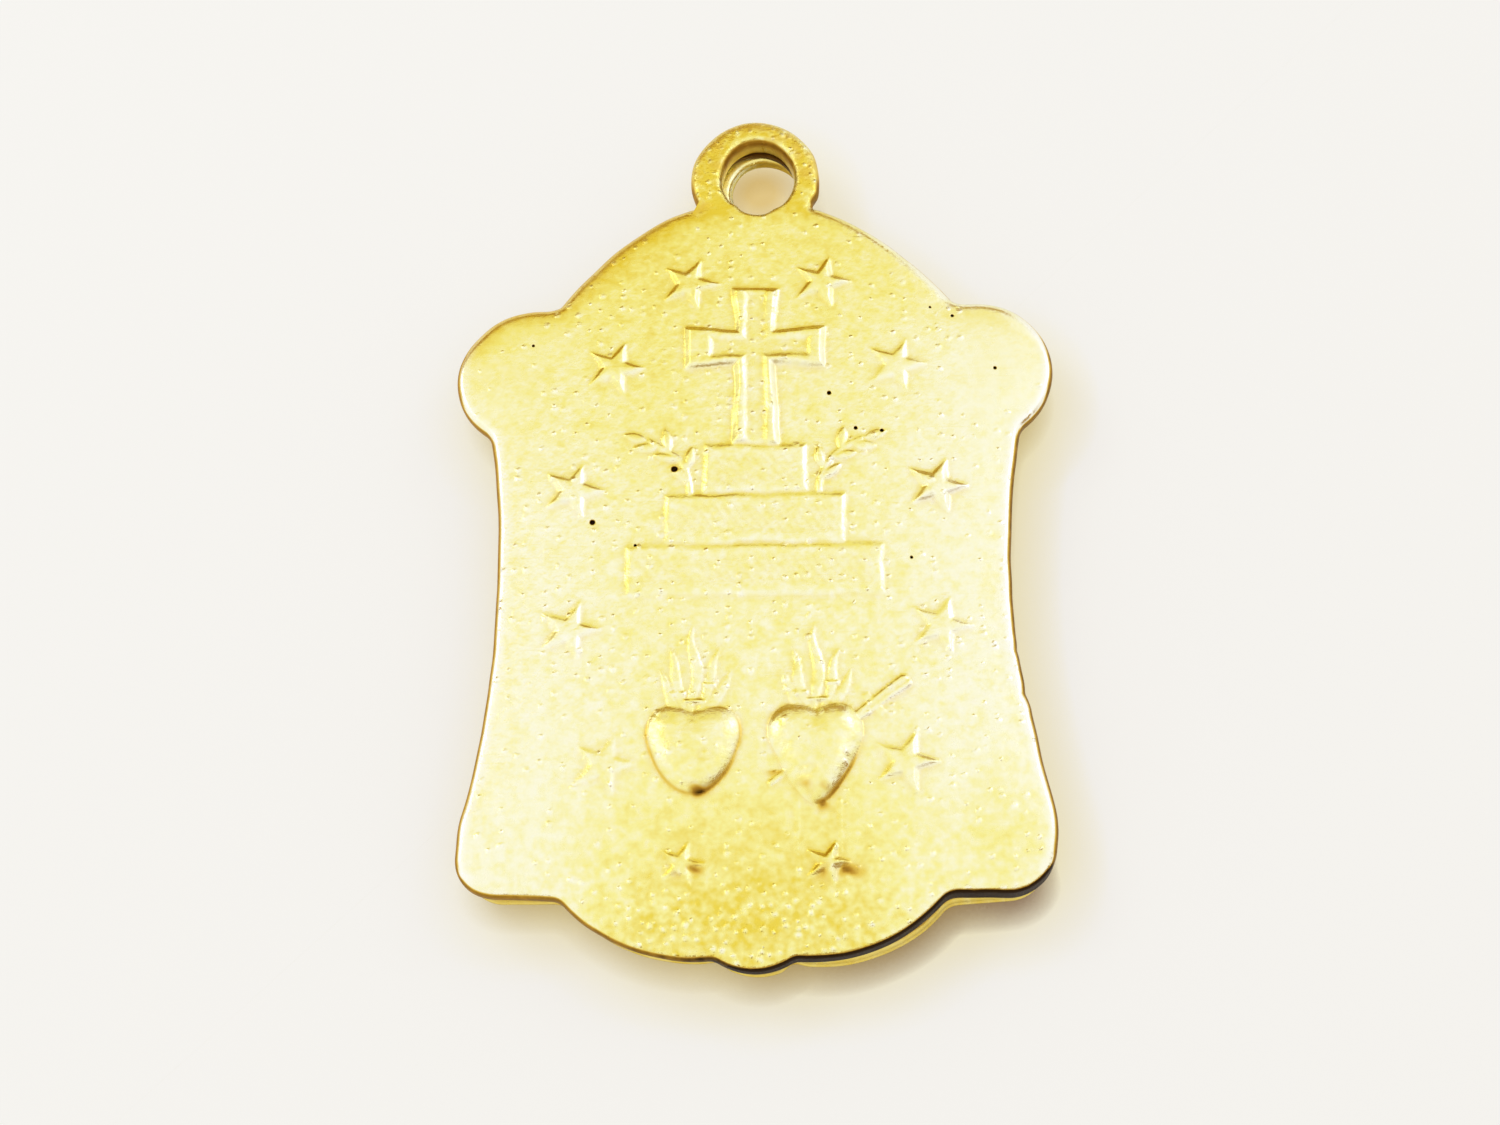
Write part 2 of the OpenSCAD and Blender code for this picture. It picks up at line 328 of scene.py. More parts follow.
@dataclass(frozen=True)
class Outline:
    """The medal seen from its back: an arch with an ear, lobes, hollow sides, corners and an apron."""

    waist_half: float = 6.7
    waist_r: float = 28.0
    shoulder_up: float = 6.55
    lobe_half: float = 8.05
    lobe_r: float = 2.05
    arch_r: float = 10.4
    arch_past: float = 2.9
    arch_low: float = 4.0
    foot_down: float = 8.35
    foot_half: float = 7.45
    corner_r: float = 1.15
    apron_down: float = 1.55
    apron_r: float = 4.4
    apron_x: float = 1.5
    tip_down: float = 0.3
    tip_r: float = 1.7
    ear_r: float = 1.82
    ear_up: float = 0.5
    ear_fillet: float = 0.3
    arch_fillet: float = 0.55
    lobe_fillet: float = 0.6
    side_r: float = 3.0
    apron_fillet: float = 0.45
    tip_fillet: float = 0.4
    step: float = 0.085

    STRAIGHT = 1.0e4

    @property
    def arch_y(self) -> float:
        """Height of the arch arcs' centres."""
        return self.shoulder_up - self.arch_low

    @property
    def arch_top(self) -> float:
        """Height of the point of the arch."""
        return self.arch_y + math.sqrt(self.arch_r**2 - self.arch_past**2)

    @property
    def ear_y(self) -> float:
        """Height of the ear's centre."""
        return self.arch_top + self.ear_up

    @property
    def foot_y(self) -> float:
        """Height of the foot line."""
        return -self.foot_down

    @property
    def apron_y(self) -> float:
        """Height of the apron's lowest line."""
        return self.foot_y - self.apron_down

    @property
    def tip_y(self) -> float:
        """Height of the lowest point."""
        return self.apron_y - self.tip_down

    @property
    def lobe_x(self) -> float:
        """Distance of the shoulder lobes' centres from the middle."""
        return self.lobe_half - self.lobe_r

    def arcs(self) -> list[Arc]:
        """Arcs of the right-hand half, from the ear's top down to the tip."""
        far = self.STRAIGHT
        return [
            Arc(0.0, self.ear_y, self.ear_r),
            Arc(-self.arch_past, self.arch_y, self.arch_r),
            Arc(self.lobe_x, self.shoulder_up, self.lobe_r),
            Arc(self.waist_half + self.waist_r, 0.0, self.waist_r, -1),
            Arc(self.foot_half - far, 0.0, far),
            Arc(0.0, self.foot_y + far, far),
            Arc(self.apron_x, self.apron_y + self.apron_r, self.apron_r),
            Arc(0.0, self.tip_y + self.tip_r, self.tip_r),
        ]

    def joins(self) -> list[Join]:
        """Small arcs between them, in the same order."""
        return [
            Join(self.ear_fillet, (self.ear_r, self.arch_top)),
            Join(self.arch_fillet, (self.lobe_x - 1.0, self.shoulder_up + self.lobe_r)),
            Join(self.lobe_fillet, (self.lobe_half, self.shoulder_up - self.lobe_r)),
            Join(-self.side_r, (self.foot_half, 2.0 - self.foot_down)),
            Join(-self.corner_r, (self.foot_half, self.foot_y)),
            Join(self.apron_fillet, (self.foot_half - 2.5, self.foot_y)),
            Join(self.tip_fillet, (self.tip_r, self.apron_y)),
        ]

    def right_half(self) -> Array:
        """Points from the ear's top to the tip, clockwise."""
        arcs, joins = self.arcs(), self.joins()
        at = np.array((0.0, self.ear_y + self.ear_r))
        runs = []
        for arc, following, join in zip(arcs, arcs[1:], joins):
            middle = joining_centre(arc, following, join)
            leave, arrive = arc.touch(middle), following.touch(middle)
            centre = np.array((arc.x, arc.y))
            runs.append(arc_points(centre, arc.r, at, leave, arc.side > 0, self.step))
            runs.append(arc_points(middle, abs(join.r), leave, arrive, join.r < 0, self.step))
            at = arrive
        last, end = arcs[-1], np.array((0.0, self.tip_y))
        runs.append(arc_points(np.array((last.x, last.y)), last.r, at, end, True, self.step))
        return np.concatenate((*runs, end[None]))

    def loop(self) -> Array:
        """The whole outline, anticlockwise and evenly spaced."""
        right = self.right_half()
        left = right[-2:0:-1] * (-1.0, 1.0)
        closed = np.concatenate((right, left, right[:1]))[::-1]
        lengths = np.hypot(*np.diff(closed, axis=0).T)
        along = np.concatenate(([0.0], np.cumsum(lengths)))
        count = round(along[-1] / self.step)
        even = np.arange(count) * along[-1] / count
        return np.stack([np.interp(even, along, closed[:, k]) for k in (0, 1)], 1)


def worn(points: Array, dents: Iterable[Dent], waviness: float, seed: int) -> Array:
    """An edge with its nicks, burrs and slight unevenness.

    Args:
        points: The edge's points, with the metal on their left.
        dents: Nicks and burrs.
        waviness: Size of the unevenness.
        seed: Draw of the unevenness.

    Returns:
        The moved points.
    """
    wave_length = 0.7
    shift = waviness * Ripple(seed).at(points[:, 0], points[:, 1], wave_length)
    for dent in dents:
        shift = shift - dent.depth * bell(np.hypot(*(points - dent.at).T), dent.width)
    return points + outward(points) * shift[:, None]


def egg(centre: Point, half_w: float, up: float, down: float, point: float, step: float) -> Array:
    """Egg-shaped hole with its lower end drawn to a point, clockwise so that the metal is on its left."""
    count = round(math.pi * (half_w + (up + down) / 2.0) / step)
    a = -np.arange(count) * math.tau / count
    tall = np.where(np.sin(a) > 0.0, up, down)
    narrow = 1.0 - point * np.clip(-np.sin(a), 0.0, 1.0) ** 2
    return np.stack((centre[0] + half_w * np.cos(a) * narrow, centre[1] + tall * np.sin(a)), 1)


# Gas holes and dirt


@dataclass(frozen=True)
class Pinhole:
    """A black gas hole in the casting."""

    x: float
    y: float
    r: float


PINHOLES = (
    Pinhole(-6.08, 7.52, 0.035), Pinhole(-2.15, 3.6, 0.08), Pinhole(-4.3, 2.05, 0.065),
    Pinhole(2.0, 5.9, 0.05), Pinhole(2.7, 4.8, 0.045), Pinhole(3.4, 4.7, 0.05),
    Pinhole(6.5, 6.6, 0.042), Pinhole(5.4, 8.3, 0.04), Pinhole(4.8, 8.58, 0.03),
    Pinhole(-3.15, 1.35, 0.035), Pinhole(4.1, 0.9, 0.035),
)


@dataclass(frozen=True)
class Smudge:
    """Patch of dirt on the back: its place, size and strength."""

    centre: Point
    half_w: float
    half_h: float
    strength: float

    def share(self, x: Array, y: Array) -> Array:
        """How much dirt points get from the patch."""
        away = np.hypot((x - self.centre[0]) / self.half_w, (y - self.centre[1]) / self.half_h)
        return self.strength * bell(away, 1.0)


SMUDGES = (
    Smudge((-1.55, -7.7), 0.42, 0.13, 0.9), Smudge((2.15, -7.75), 0.45, 0.2, 1.1),
    Smudge((1.7, -5.85), 0.22, 0.26, 0.9), Smudge((-1.4, -5.6), 0.26, 0.16, 0.9),
    Smudge((1.3, -5.5), 0.35, 0.18, 0.4), Smudge((0.5, -5.11), 0.2, 0.06, 0.7),
)


def pinhole_share(x: Array, y: Array, wide: float, soft: float) -> Array:
    """How far points belong to a gas hole: 1 inside it, falling off at wide times its radius."""
    share = np.zeros_like(x)
    for hole in PINHOLES:
        at = near_box(x, y, (hole.x, hole.y), 3.0 * hole.r)
        gap = np.hypot(x[at] - hole.x, y[at] - hole.y) / hole.r
        share[at] = np.maximum(share[at], smooth((wide - gap) / soft))
    return share


# Plates with a relief on each face


def ribbon(near: Array, far: Array) -> Array:
    """Quads between two closed loops, of points or of their numbers."""
    return np.stack((near, np.roll(near, -1, 0), np.roll(far, -1, 0), far), 1)


def closed_mesh(name: str, places: Array, blocks: Sequence[Array]) -> bpy.types.Mesh:
    """Smooth-shaded mesh of points and of blocks of faces, each with one number of corners."""
    made = bpy.data.meshes.new(name)
    corners = np.concatenate([block.ravel() for block in blocks])
    sizes = np.concatenate([np.full(len(block), block.shape[1]) for block in blocks])
    made.vertices.add(len(places))
    made.vertices.foreach_set("co", places.ravel())
    made.loops.add(len(corners))
    made.loops.foreach_set("vertex_index", corners.astype(np.int32))
    made.polygons.add(len(sizes))
    made.polygons.foreach_set("loop_start", (np.cumsum(sizes) - sizes).astype(np.int32))
    made.update(calc_edges=True)
    made.polygons.foreach_set("use_smooth", np.ones(len(sizes), bool))
    return made


@dataclass
class PlateFace:
    """One face of a plate, still flat, with what its relief is worked out from.

    Attributes:
        places: Points in the plane.
        flat: The same points with the rounded edges unrolled, for the map.
        lean: How steep the rounded edge is, from 0 on the face to 1 at the wall.
        drop: How far the rounded edge falls below the face.
        insets: Distance from each rim.
        facing: Which way the outer rim faces where it is nearest.
        quads: Faces along the rims.
        triangles: Faces between them.
        first_rings: Outermost points of each rim.
    """

    places: Array
    flat: Array
    lean: Array
    drop: Array
    insets: list[Array]
    facing: Array
    quads: Array
    triangles: Array
    first_rings: list[Array]


class Plate:
    """A struck plate between two faces, closed by the walls of its rims."""

    RINGS = 8
    WALLS = 4
    MAP_MARGIN = 1.8
    STEEP = 0.12
    FIELD_CLEAR = 0.6
    SPOT_RINGS = (0.35, 0.7, 1.0, 1.35, 1.8)
    SPOT_SIDES = 10
    SPOT_CLEAR = 1.2

    def __init__(self, rims: Sequence[Rim]) -> None:
        """Takes the outer rim first, and then the rims of the holes."""
        self.rims = list(rims)

    def face(self, top: bool, spacing: float, relief: Figure | None = None,
             spots: Sequence[Pinhole] = ()) -> PlateFace:
        """Meshes one face with rings along the rims and a dense field between them.

        Args:
            top: Whether the face takes the rims' top rounding.
            spacing: Distance between the points of the field.
            relief: Heights of the relief; points lie twice as close where it is steep.
            spots: Small holes that get rings of points of their own.

        Returns:
            The face, flat.
        """
        turn = np.linspace(0.0, math.pi / 2.0, self.RINGS)
        places, flats, leans, drops, own, quads, rings = [], [], [], [], [], [], []
        start = 0
        for rim in self.rims:
            r = rim.radius(top)
            index = start + np.arange(self.RINGS * len(r)).reshape(self.RINGS, -1)
            places += [rim.inset(r * (1.0 - math.cos(a))) for a in turn]
            flats += [rim.inset(r * (1.0 + a - math.pi / 2.0)) for a in turn]
            leans += [np.full(len(r), 1.0 - math.sin(a)) for a in turn]
            drops += [r * (1.0 - math.sin(a)) for a in turn]
            own.append(np.concatenate([r * (1.0 - math.cos(a)) for a in turn]))
            quads += [ribbon(near, far) for near, far in zip(index, index[1:])]
            rings.append(index)
            start += index.size
        grid = self._with_spots(self._field(spacing, top, relief), spots)
        all_places = np.concatenate((*places, grid))
        level = np.zeros(len(grid))
        insets, facing = self._insets(all_places, rings, own)
        return PlateFace(
            places=all_places,
            flat=np.concatenate((*flats, grid)),
            lean=np.concatenate((*leans, level)),
            drop=np.concatenate((*drops, level)),
            insets=insets,
            facing=facing,
            quads=np.concatenate(quads),
            triangles=self._fill(all_places, start, [index[-1] for index in rings]),
            first_rings=[index[0] for index in rings],
        )

    def _field(self, spacing: float, top: bool, relief: Figure | None) -> Array:
        """Points of a staggered grid clear of the rims' rings, twice as close on steep relief."""
        fine = spacing / 2.0
        low, high = self.rims[0].points.min(0), self.rims[0].points.max(0)
        x, y = np.meshgrid(np.arange(low[0], high[0], fine), np.arange(low[1], high[1], fine))
        rows, columns = np.indices(x.shape)
        keep = (rows % 2 == 0) & ((columns + rows // 2) % 2 == 0)
        if relief:
            heights = relief(x.ravel(), y.ravel()).reshape(x.shape)
            keep |= np.hypot(*np.gradient(heights, fine)) > self.STEEP
        points = np.stack((x[keep], y[keep]), 1)
        for rim in self.rims:
            inset, best = rim.reach(points)
            points = points[inset > rim.radius(top)[best] + self.FIELD_CLEAR * spacing]
        return points

    def _with_spots(self, points: Array, spots: Sequence[Pinhole]) -> Array:
        """The points with those at each small hole replaced by rings round it."""
        turns = np.arange(self.SPOT_SIDES) * math.tau / self.SPOT_SIDES
        circle = np.stack((np.cos(turns), np.sin(turns)), 1)
        for spot in spots:
            middle = np.array((spot.x, spot.y))
            clear = self.SPOT_CLEAR * self.SPOT_RINGS[-1] * spot.r
            points = points[np.hypot(*(points - middle).T) > clear]
            rings = [middle + spot.r * k * circle for k in self.SPOT_RINGS]
            points = np.concatenate((points, middle[None], *rings))
        return points

    @staticmethod
    def _fill(spots: Array, start: int, rings: list[Array]) -> Array:
        """Triangles between the innermost rings and the grid, whose points begin at start."""
        used = np.concatenate((*rings, np.arange(start, len(spots))))
        edges, owner, first = [], np.full(len(used), -1), 0
        for number, ring in enumerate(rings):
            ids = np.arange(first, first + len(ring))
            owner[ids] = number
            edges += zip(ids.tolist(), np.roll(ids, -1).tolist())
            first += len(ring)
        _, _, found, same, _, _ = delaunay_2d_cdt([Vector(p) for p in spots[used]], edges, [], 0, 1e-9)
        corners = np.array([ids[0] for ids in same])[np.array(found)]
        owners = owner[corners]
        outside = (owners[:, 0] >= 0) & (owners == owners[:, :1]).all(1)
        return used[corners[~outside]]

    def _insets(self, spots: Array, rings: list[Array], own: list[Array]) -> tuple[list[Array], Array]:
        """Distances of points from each rim, exact along its own rings, and the outer rim's facing."""
        insets, facings = [], []
        for rim, index, exact in zip(self.rims, rings, own):
            reach, nearest = rim.reach(spots)
            inset = np.maximum(reach, 0.0)
            inset[index.ravel()] = exact
            insets.append(inset)
            facings.append(rim.normals[nearest])
        return insets, facings[0]

    def mesh(self, name: str, top: PlateFace, top_z: Array, bottom: PlateFace, bottom_z: Array,
             shift: Point, bulge: float = 0.0) -> tuple[bpy.types.Mesh, Array]:
        """Joins the two faces with their walls into one closed mesh.

        Args:
            name: Name of the mesh.
            top: Upper face.
            top_z: Its heights.
            bottom: Lower face.
            bottom_z: Its heights.
            shift: Move from the waist's axes into the frame, in millimetres.
            bulge: How far the middle of the walls swells out.

        Returns:
            The mesh, in metres, with a map of both faces, and how far each point belongs to a wall.
        """
        offset = len(top.places)
        verts = [np.column_stack((top.places, top_z)), np.column_stack((bottom.places, bottom_z))]
        start = faces_end = offset + len(bottom.places)
        walls, wall_flats = [], []
        between = np.linspace(0.0, 1.0, self.WALLS + 1)
        for rim, high, low in zip(self.rims, top.first_rings, bottom.first_rings):
            fall = bottom_z[low] - top_z[high]
            loops = [high]
            for t in between[1:-1]:
                place = rim.points + rim.normals * (bulge * math.sin(math.pi * t))
                verts.append(np.column_stack((place, top_z[high] + fall * t)))
                loops.append(start + np.arange(len(high)))
                start += len(high)
            loops.append(low + offset)
            flats = [top.flat[high] - rim.normals * (fall * t)[:, None] for t in between]
            walls += [ribbon(under, over) for over, under in zip(loops, loops[1:])]
            wall_flats += [ribbon(under, over) for over, under in zip(flats, flats[1:])]
        blocks = [top.quads, top.triangles, np.concatenate(walls),
                  bottom.quads[:, ::-1] + offset, bottom.triangles[:, ::-1] + offset]
        made = closed_mesh(name, (np.concatenate(verts) + (*shift, 0.0)) * MM, blocks)
        self._map(made, top, bottom, blocks, np.concatenate(wall_flats), offset)
        return made, np.concatenate((top.lean, bottom.lean, np.ones(start - faces_end)))

    def _map(self, made: bpy.types.Mesh, top: PlateFace, bottom: PlateFace, blocks: list[Array],
             wall_flats: Array, offset: int) -> None:
        """Lays the top with its walls and the bottom side by side in one map."""
        low, high = top.flat.min(0) - self.MAP_MARGIN, top.flat.max(0) + self.MAP_MARGIN
        beside = np.array((high[0] - low[0], 0.0))
        spots = np.concatenate((
            top.flat[blocks[0].ravel()], top.flat[blocks[1].ravel()], wall_flats.reshape(-1, 2),
            bottom.flat[blocks[3].ravel() - offset] + beside,
            bottom.flat[blocks[4].ravel() - offset] + beside,
        ))
        scale = 1.0 / max(2.0 * beside[0], high[1] - low[1])
        made.uv_layers.new(name="OFBake").data.foreach_set("uv", ((spots - low) * scale).ravel())


def add_figure(z: Array, x: Array, y: Array, centre: Point, reach: float, figure: Figure) -> None:
    """Raises heights to those of a figure that lies within reach of a centre."""
    at = near_box(x, y, centre, reach)
    z[at] = np.maximum(z[at], figure(x[at], y[at]))


# Relief of the back


@dataclass(frozen=True)
class Star:
    """A star of the ring: its place, its size and how much of its relief is left."""

    x: float
    y: float
    size: float
    kept: float


@dataclass(frozen=True)
class Heart:
    """One of the two hearts.

    Attributes:
        x: Its middle.
        tip: How far it hangs below its tops.
        point: How pointed it is.
        dent: Its dent, from its middle.
        lively: How far its flames stand out.
    """

    x: float
    tip: float
    point: float
    dent: Point
    lively: float


@dataclass(frozen=True)
class BackRelief:
    """Raised figures of the back: stars, a cross on steps with sprigs, and two flaming hearts."""

    ring_half_w: float = 4.95
    ring_half_h: float = 9.1
    ring_up: float = 0.95
    star_angles: tuple[float, ...] = (21.5, 50.5, 77.0)
    star_tips: int = 5
    star_r: float = 0.8
    star_in: float = 0.35
    star_h: float = 0.105
    cross_up: float = 7.35
    cross_arm: float = 1.85
    cross_w: float = 1.0
    cross_end: float = 1.2
    cross_sunk_w: float = 0.56
    cross_sunk_left: float = 1.2
    cross_sunk_right: float = 1.45
    cross_sunk_up: float = 1.75
    cross_sunk: float = 0.06
    cross_sunk_slope: float = 0.24
    flat_h: float = 0.12
    slope: float = 0.23
    steps_up: float = 4.35
    step_h: float = 1.5
    step_w: float = 2.8
    step_grow: float = 2.0
    step_count: int = 3
    step_relief: float = 0.06
    hatch_h: float = 0.005
    hatch_gap: float = 0.26
    sprig_gap: float = 0.3
    sprig_r: float = 1.7
    sprig_turn: float = 72.0
    stem_w: float = 0.14
    sprig_h: float = 0.06
    leaf_len: float = 0.75
    leaf_w: float = 0.3
    leaf_lean: float = 36.0
    leaf_count: int = 6
    heart_x: float = 1.56
    heart_down: float = 3.9
    heart_w: float = 2.4
    heart_r: float = 0.66
    heart_h: float = 0.27
    flame_h: float = 3.0
    side_flame_h: float = 2.4
    flame_w: float = 0.42
    flame_lean: float = 17.0
    flame_relief: float = 0.04
    band_relief: float = 0.07
    sword_len: float = 4.4
    sword_w: float = 0.24
    guard_w: float = 0.7
    sword_lean: float = 51.0
    sword_right: float = 0.56
    sword_drop: float = 0.12
    streak_h: float = 0.03
    streak_top: float = -5.9
    streak_feet: tuple[Point, ...] = ((-0.5, -8.05), (0.57, -7.2))
    wobble: float = 0.035

    def stars(self) -> list[Star]:
        """All stars, from the top row down; the lowest ones are small, and some others are worn."""
        kept = {(1, 1): 0.8, (2, -1): 0.85, (4, -1): 0.55, (5, -1): 1.1, (5, 1): 1.3}
        rows = [(a, 1) for a in self.star_angles] + [(a, -1) for a in reversed(self.star_angles)]
        last = len(rows) - 1
        found = []
        for row, (angle, up) in enumerate(rows):
            a = math.radians(angle)
            for side in (-1, 1):
                x = side * self.ring_half_w * math.sin(a)
                y = self.ring_up + up * self.ring_half_h * math.cos(a)
                found.append(Star(x, y, 0.7 if row == last else 1.0, kept.get((row, side), 1.0)))
        return found

    def hearts(self) -> list[Heart]:
        """The plain heart on the left, and the longer one with the sword on the right."""
        return [
            Heart(-self.heart_x, tip=1.78, point=0.1, dent=(0.3, -0.75), lively=1.4),
            Heart(self.heart_x, tip=2.05, point=0.32, dent=(-0.2, -1.2), lively=1.0),
        ]

    def heights(self, x: Array, y: Array) -> Array:
        """Heights of all the relief above the back, with uneven edges and wear."""
        bent_x = x + self.wobble * Ripple(41).at(x, y, 0.6)
        bent_y = y + self.wobble * Ripple(42).at(x, y, 0.6)
        return self._figures(bent_x, bent_y) * (0.85 + 0.3 * Ripple(43).at(x, y, 1.3))

    def _figures(self, x: Array, y: Array) -> Array:
        """Heights of the figures, still even."""
        z = np.zeros_like(x)
        for star in self.stars():
            self._star(z, x, y, star)
        add_figure(z, x, y, (0.0, self.cross_up), 4.0, self._cross)
        add_figure(z, x, y, (0.0, self.steps_up - 2.2), 4.5, self._steps)
        for side in (-1, 1):
            self._sprig(z, x, y, side)
        add_figure(z, x, y, (self.heart_x, -self.heart_down), 3.4, self._sword)
        for heart in self.hearts():
            self._flames(z, x, y, heart)
            centre = (heart.x, -self.heart_down)
            add_figure(z, x, y, centre, 2.8, lambda px, py, h=heart: self._heart(px, py, h))
        for off, foot in self.streak_feet:
            at = self.heart_x + off
            streak = bar_gap(x, y, (at, foot), (at, self.streak_top), 0.01, 0.05)
            z = np.maximum(z, plateau(streak, self.streak_h, 0.14))
        return z

    def _star(self, z: Array, x: Array, y: Array, star: Star) -> None:
        """A ridged star, one of its tips to the right."""
        radii = (self.star_r * star.size, self.star_in * star.size)
        corners = []
        for k in range(2 * self.star_tips):
            a = math.pi * k / self.star_tips
            corners.append((star.x + radii[k % 2] * math.cos(a), star.y + radii[k % 2] * math.sin(a)))
        top = self.star_h * star.kept

        def figure(px: Array, py: Array) -> Array:
            gap = polygon_gap(px, py, corners)
            return 0.6 * plateau(gap, top, 0.2) + 0.4 * dome(gap, top, 0.32, 0.9)

        add_figure(z, x, y, (star.x, star.y), 1.2, figure)

    def _cross(self, x: Array, y: Array) -> Array:
        """Cross with slightly flared arms, a raised border and a foot on the top step."""
        gap = np.full_like(x, np.inf)
        foot = self.cross_up - self.steps_up
        limbs = ((0.0, self.cross_arm), (90.0, self.cross_arm), (-90.0, self.cross_arm), (180.0, foot))
        for turn, length in limbs:
            px, py = turned(x, y, (0.0, self.cross_up), turn)
            flare = smooth((py / length - 0.3) / 0.7)
            half = self.cross_w / 2.0 + (self.cross_end - self.cross_w) / 2.0 * flare
            limb = np.maximum(np.abs(px) - half, np.maximum(py - length, -py - 0.3))
            gap = np.minimum(gap, limb)
        half = self.cross_sunk_w / 2.0
        above = y - self.cross_up
        top, left, right = self.cross_sunk_up, self.cross_sunk_left, self.cross_sunk_right
        upright = box_gap(x, above - (top - foot) / 2.0, half, (top + foot) / 2.0)
        arms = box_gap(x - (right - left) / 2.0, above, (right + left) / 2.0, half)
        sunk = plateau(np.minimum(upright, arms), self.cross_sunk, self.cross_sunk_slope)
        return plateau(gap, self.flat_h, self.slope) - sunk

    def _steps(self, x: Array, y: Array) -> Array:
        """Low soft steps with faint slanting tooling."""
        z = np.zeros_like(x)
        tooling = self.hatch_h * np.cos((x + 0.7 * y) * math.tau / self.hatch_gap)
        for k in range(self.step_count):
            half = (self.step_w + k * self.step_grow) / 2.0
            middle = self.steps_up - (k + 0.5) * self.step_h
            gap = box_gap(x, y - middle, half - 0.06, self.step_h / 2.0 - 0.06)
            inside = smooth((-gap - 0.15) / 0.2)
            body = plateau(gap, self.step_relief, 0.24) + (tooling - 0.008) * inside
            z = np.maximum(z, body)
        return z

    def _sprig(self, z: Array, x: Array, y: Array, side: int) -> None:
        """Leafy sprig that curves up and outwards beside the top step."""
        centre = (self.step_w / 2.0 + self.sprig_gap + self.sprig_r, self.steps_up - self.step_h)

        def figure(px: Array, py: Array) -> Array:
            px = px * side
            angle = np.degrees(np.arctan2(py - centre[1], centre[0] - px))
            ring = np.abs(np.hypot(px - centre[0], py - centre[1]) - self.sprig_r) - self.stem_w / 2.0
            past = np.radians(np.maximum(-angle, angle - self.sprig_turn)) * self.sprig_r
            result = plateau(np.maximum(ring, past), 0.7 * self.sprig_h, 0.12)
            for k in range(1, self.leaf_count + 1):
                a = self.sprig_turn * k / self.leaf_count
                lean = 0.0 if k == self.leaf_count else self.leaf_lean * (1 if k % 2 == 0 else -1)
                r = math.radians(a)
                foot = (centre[0] - self.sprig_r * math.cos(r), centre[1] + self.sprig_r * math.sin(r))
                lx, ly = turned(px, py, foot, lean - a)
                leaf = dome(lens_gap(lx, ly, self.leaf_len, self.leaf_w), self.sprig_h, 0.15, 0.7)
                result = np.maximum(result, leaf)
            return result

        add_figure(z, x, y, (side * centre[0], centre[1] + 1.0), 2.6, figure)

    def heart_edge_shade(self, x: Array, y: Array) -> Array:
        """Painted shade along the hearts' edges, from 0 to 1: round the left one, and at the lower right of
        each.
        """
        share = np.zeros_like(x)
        for heart, around in zip(self.hearts(), (0.55, 0.0)):
            at = near_box(x, y, (heart.x, -self.heart_down), 2.6)
            px, py = x[at], y[at]
            low = smooth((-self.heart_down + 0.5 - py) / 0.5)
            tip = smooth((px - heart.x + 0.25) / 0.6) * smooth((-self.heart_down - 0.4 - py) / 0.8)
            line = bell(self._heart_gap(px, py, heart) + 0.02, 0.05)
            share[at] += line * np.maximum(around * low, tip)
        return share

    def on_hearts(self, x: Array, y: Array) -> Array:
        """1 on the hearts and 0 away from them."""
        gaps = [self._heart_gap(x, y, heart) for heart in self.hearts()]
        return smooth((0.15 - np.minimum(*gaps)) / 0.1)

    def _heart_gap(self, x: Array, y: Array, heart: Heart) -> Array:
        """About the signed distance from a heart's edge."""
        x, y = x - heart.x, y + self.heart_down
        c = self.heart_w / 2.0 - self.heart_r
        tops = np.hypot(np.abs(x) - c, y) - self.heart_r
        low = y + 0.3
        down = heart.tip - 0.3
        narrow = 1.0 - heart.point * smooth(-low / down)
        half = (self.heart_w / 2.0 - 0.06) * narrow
        body = oval_gap(x, low, half, np.where(low > 0.0, 0.72, down))
        return soft_min(tops, body, 0.28)

    def _heart(self, x: Array, y: Array, heart: Heart) -> Array:
        """Swelling heart; the line between its round tops runs through its middle."""
        gap = self._heart_gap(x, y, heart)
        mark = np.hypot(x - heart.x - heart.dent[0], (y + self.heart_down - heart.dent[1]) * 1.4)
        dent = 0.028 * bell(mark - 0.16, 0.13) * (gap < -0.2)
        return dome(gap, self.heart_h, 0.75, 0.8) - dent

    def _flames(self, z: Array, x: Array, y: Array, heart: Heart) -> None:
        """Thin flames that rise out of a heart, with broken bands at their foot."""
        foot = (heart.x, -self.heart_down)
        lean, side = self.flame_lean, self.side_flame_h
        tongues = (
            (0.0, self.flame_h, 0.05), (lean, side, 0.0), (-lean, side, 0.0),
            (lean * 1.8, side * 0.8, 0.0), (-lean * 1.8, side * 0.82, 0.0),
        )
        bands = ((-0.42, 0.98, 0.2), (0.05, 0.76, 0.3), (0.42, 1.22, 0.16))

        def figure(px: Array, py: Array) -> Array:
            result = np.zeros_like(px)
            for turn, length, thick in tongues:
                lx, ly = turned(px, py, foot, turn)
                lx = lx + 0.08 * np.sin(ly * 3.1 + turn)
                tongue = lens_gap(lx, ly, length, self.flame_w * (0.8 + thick))
                result = np.maximum(result, dome(tongue, self.flame_relief * heart.lively, 0.2, 0.8))
            for off, lift, half in bands:
                band = box_gap(px - foot[0] - off, py - foot[1] - lift, half, 0.05)
                result = np.maximum(result, plateau(band, self.band_relief * heart.lively, 0.12))
            return result

        add_figure(z, x, y, (foot[0], foot[1] + 1.6), 2.2, figure)

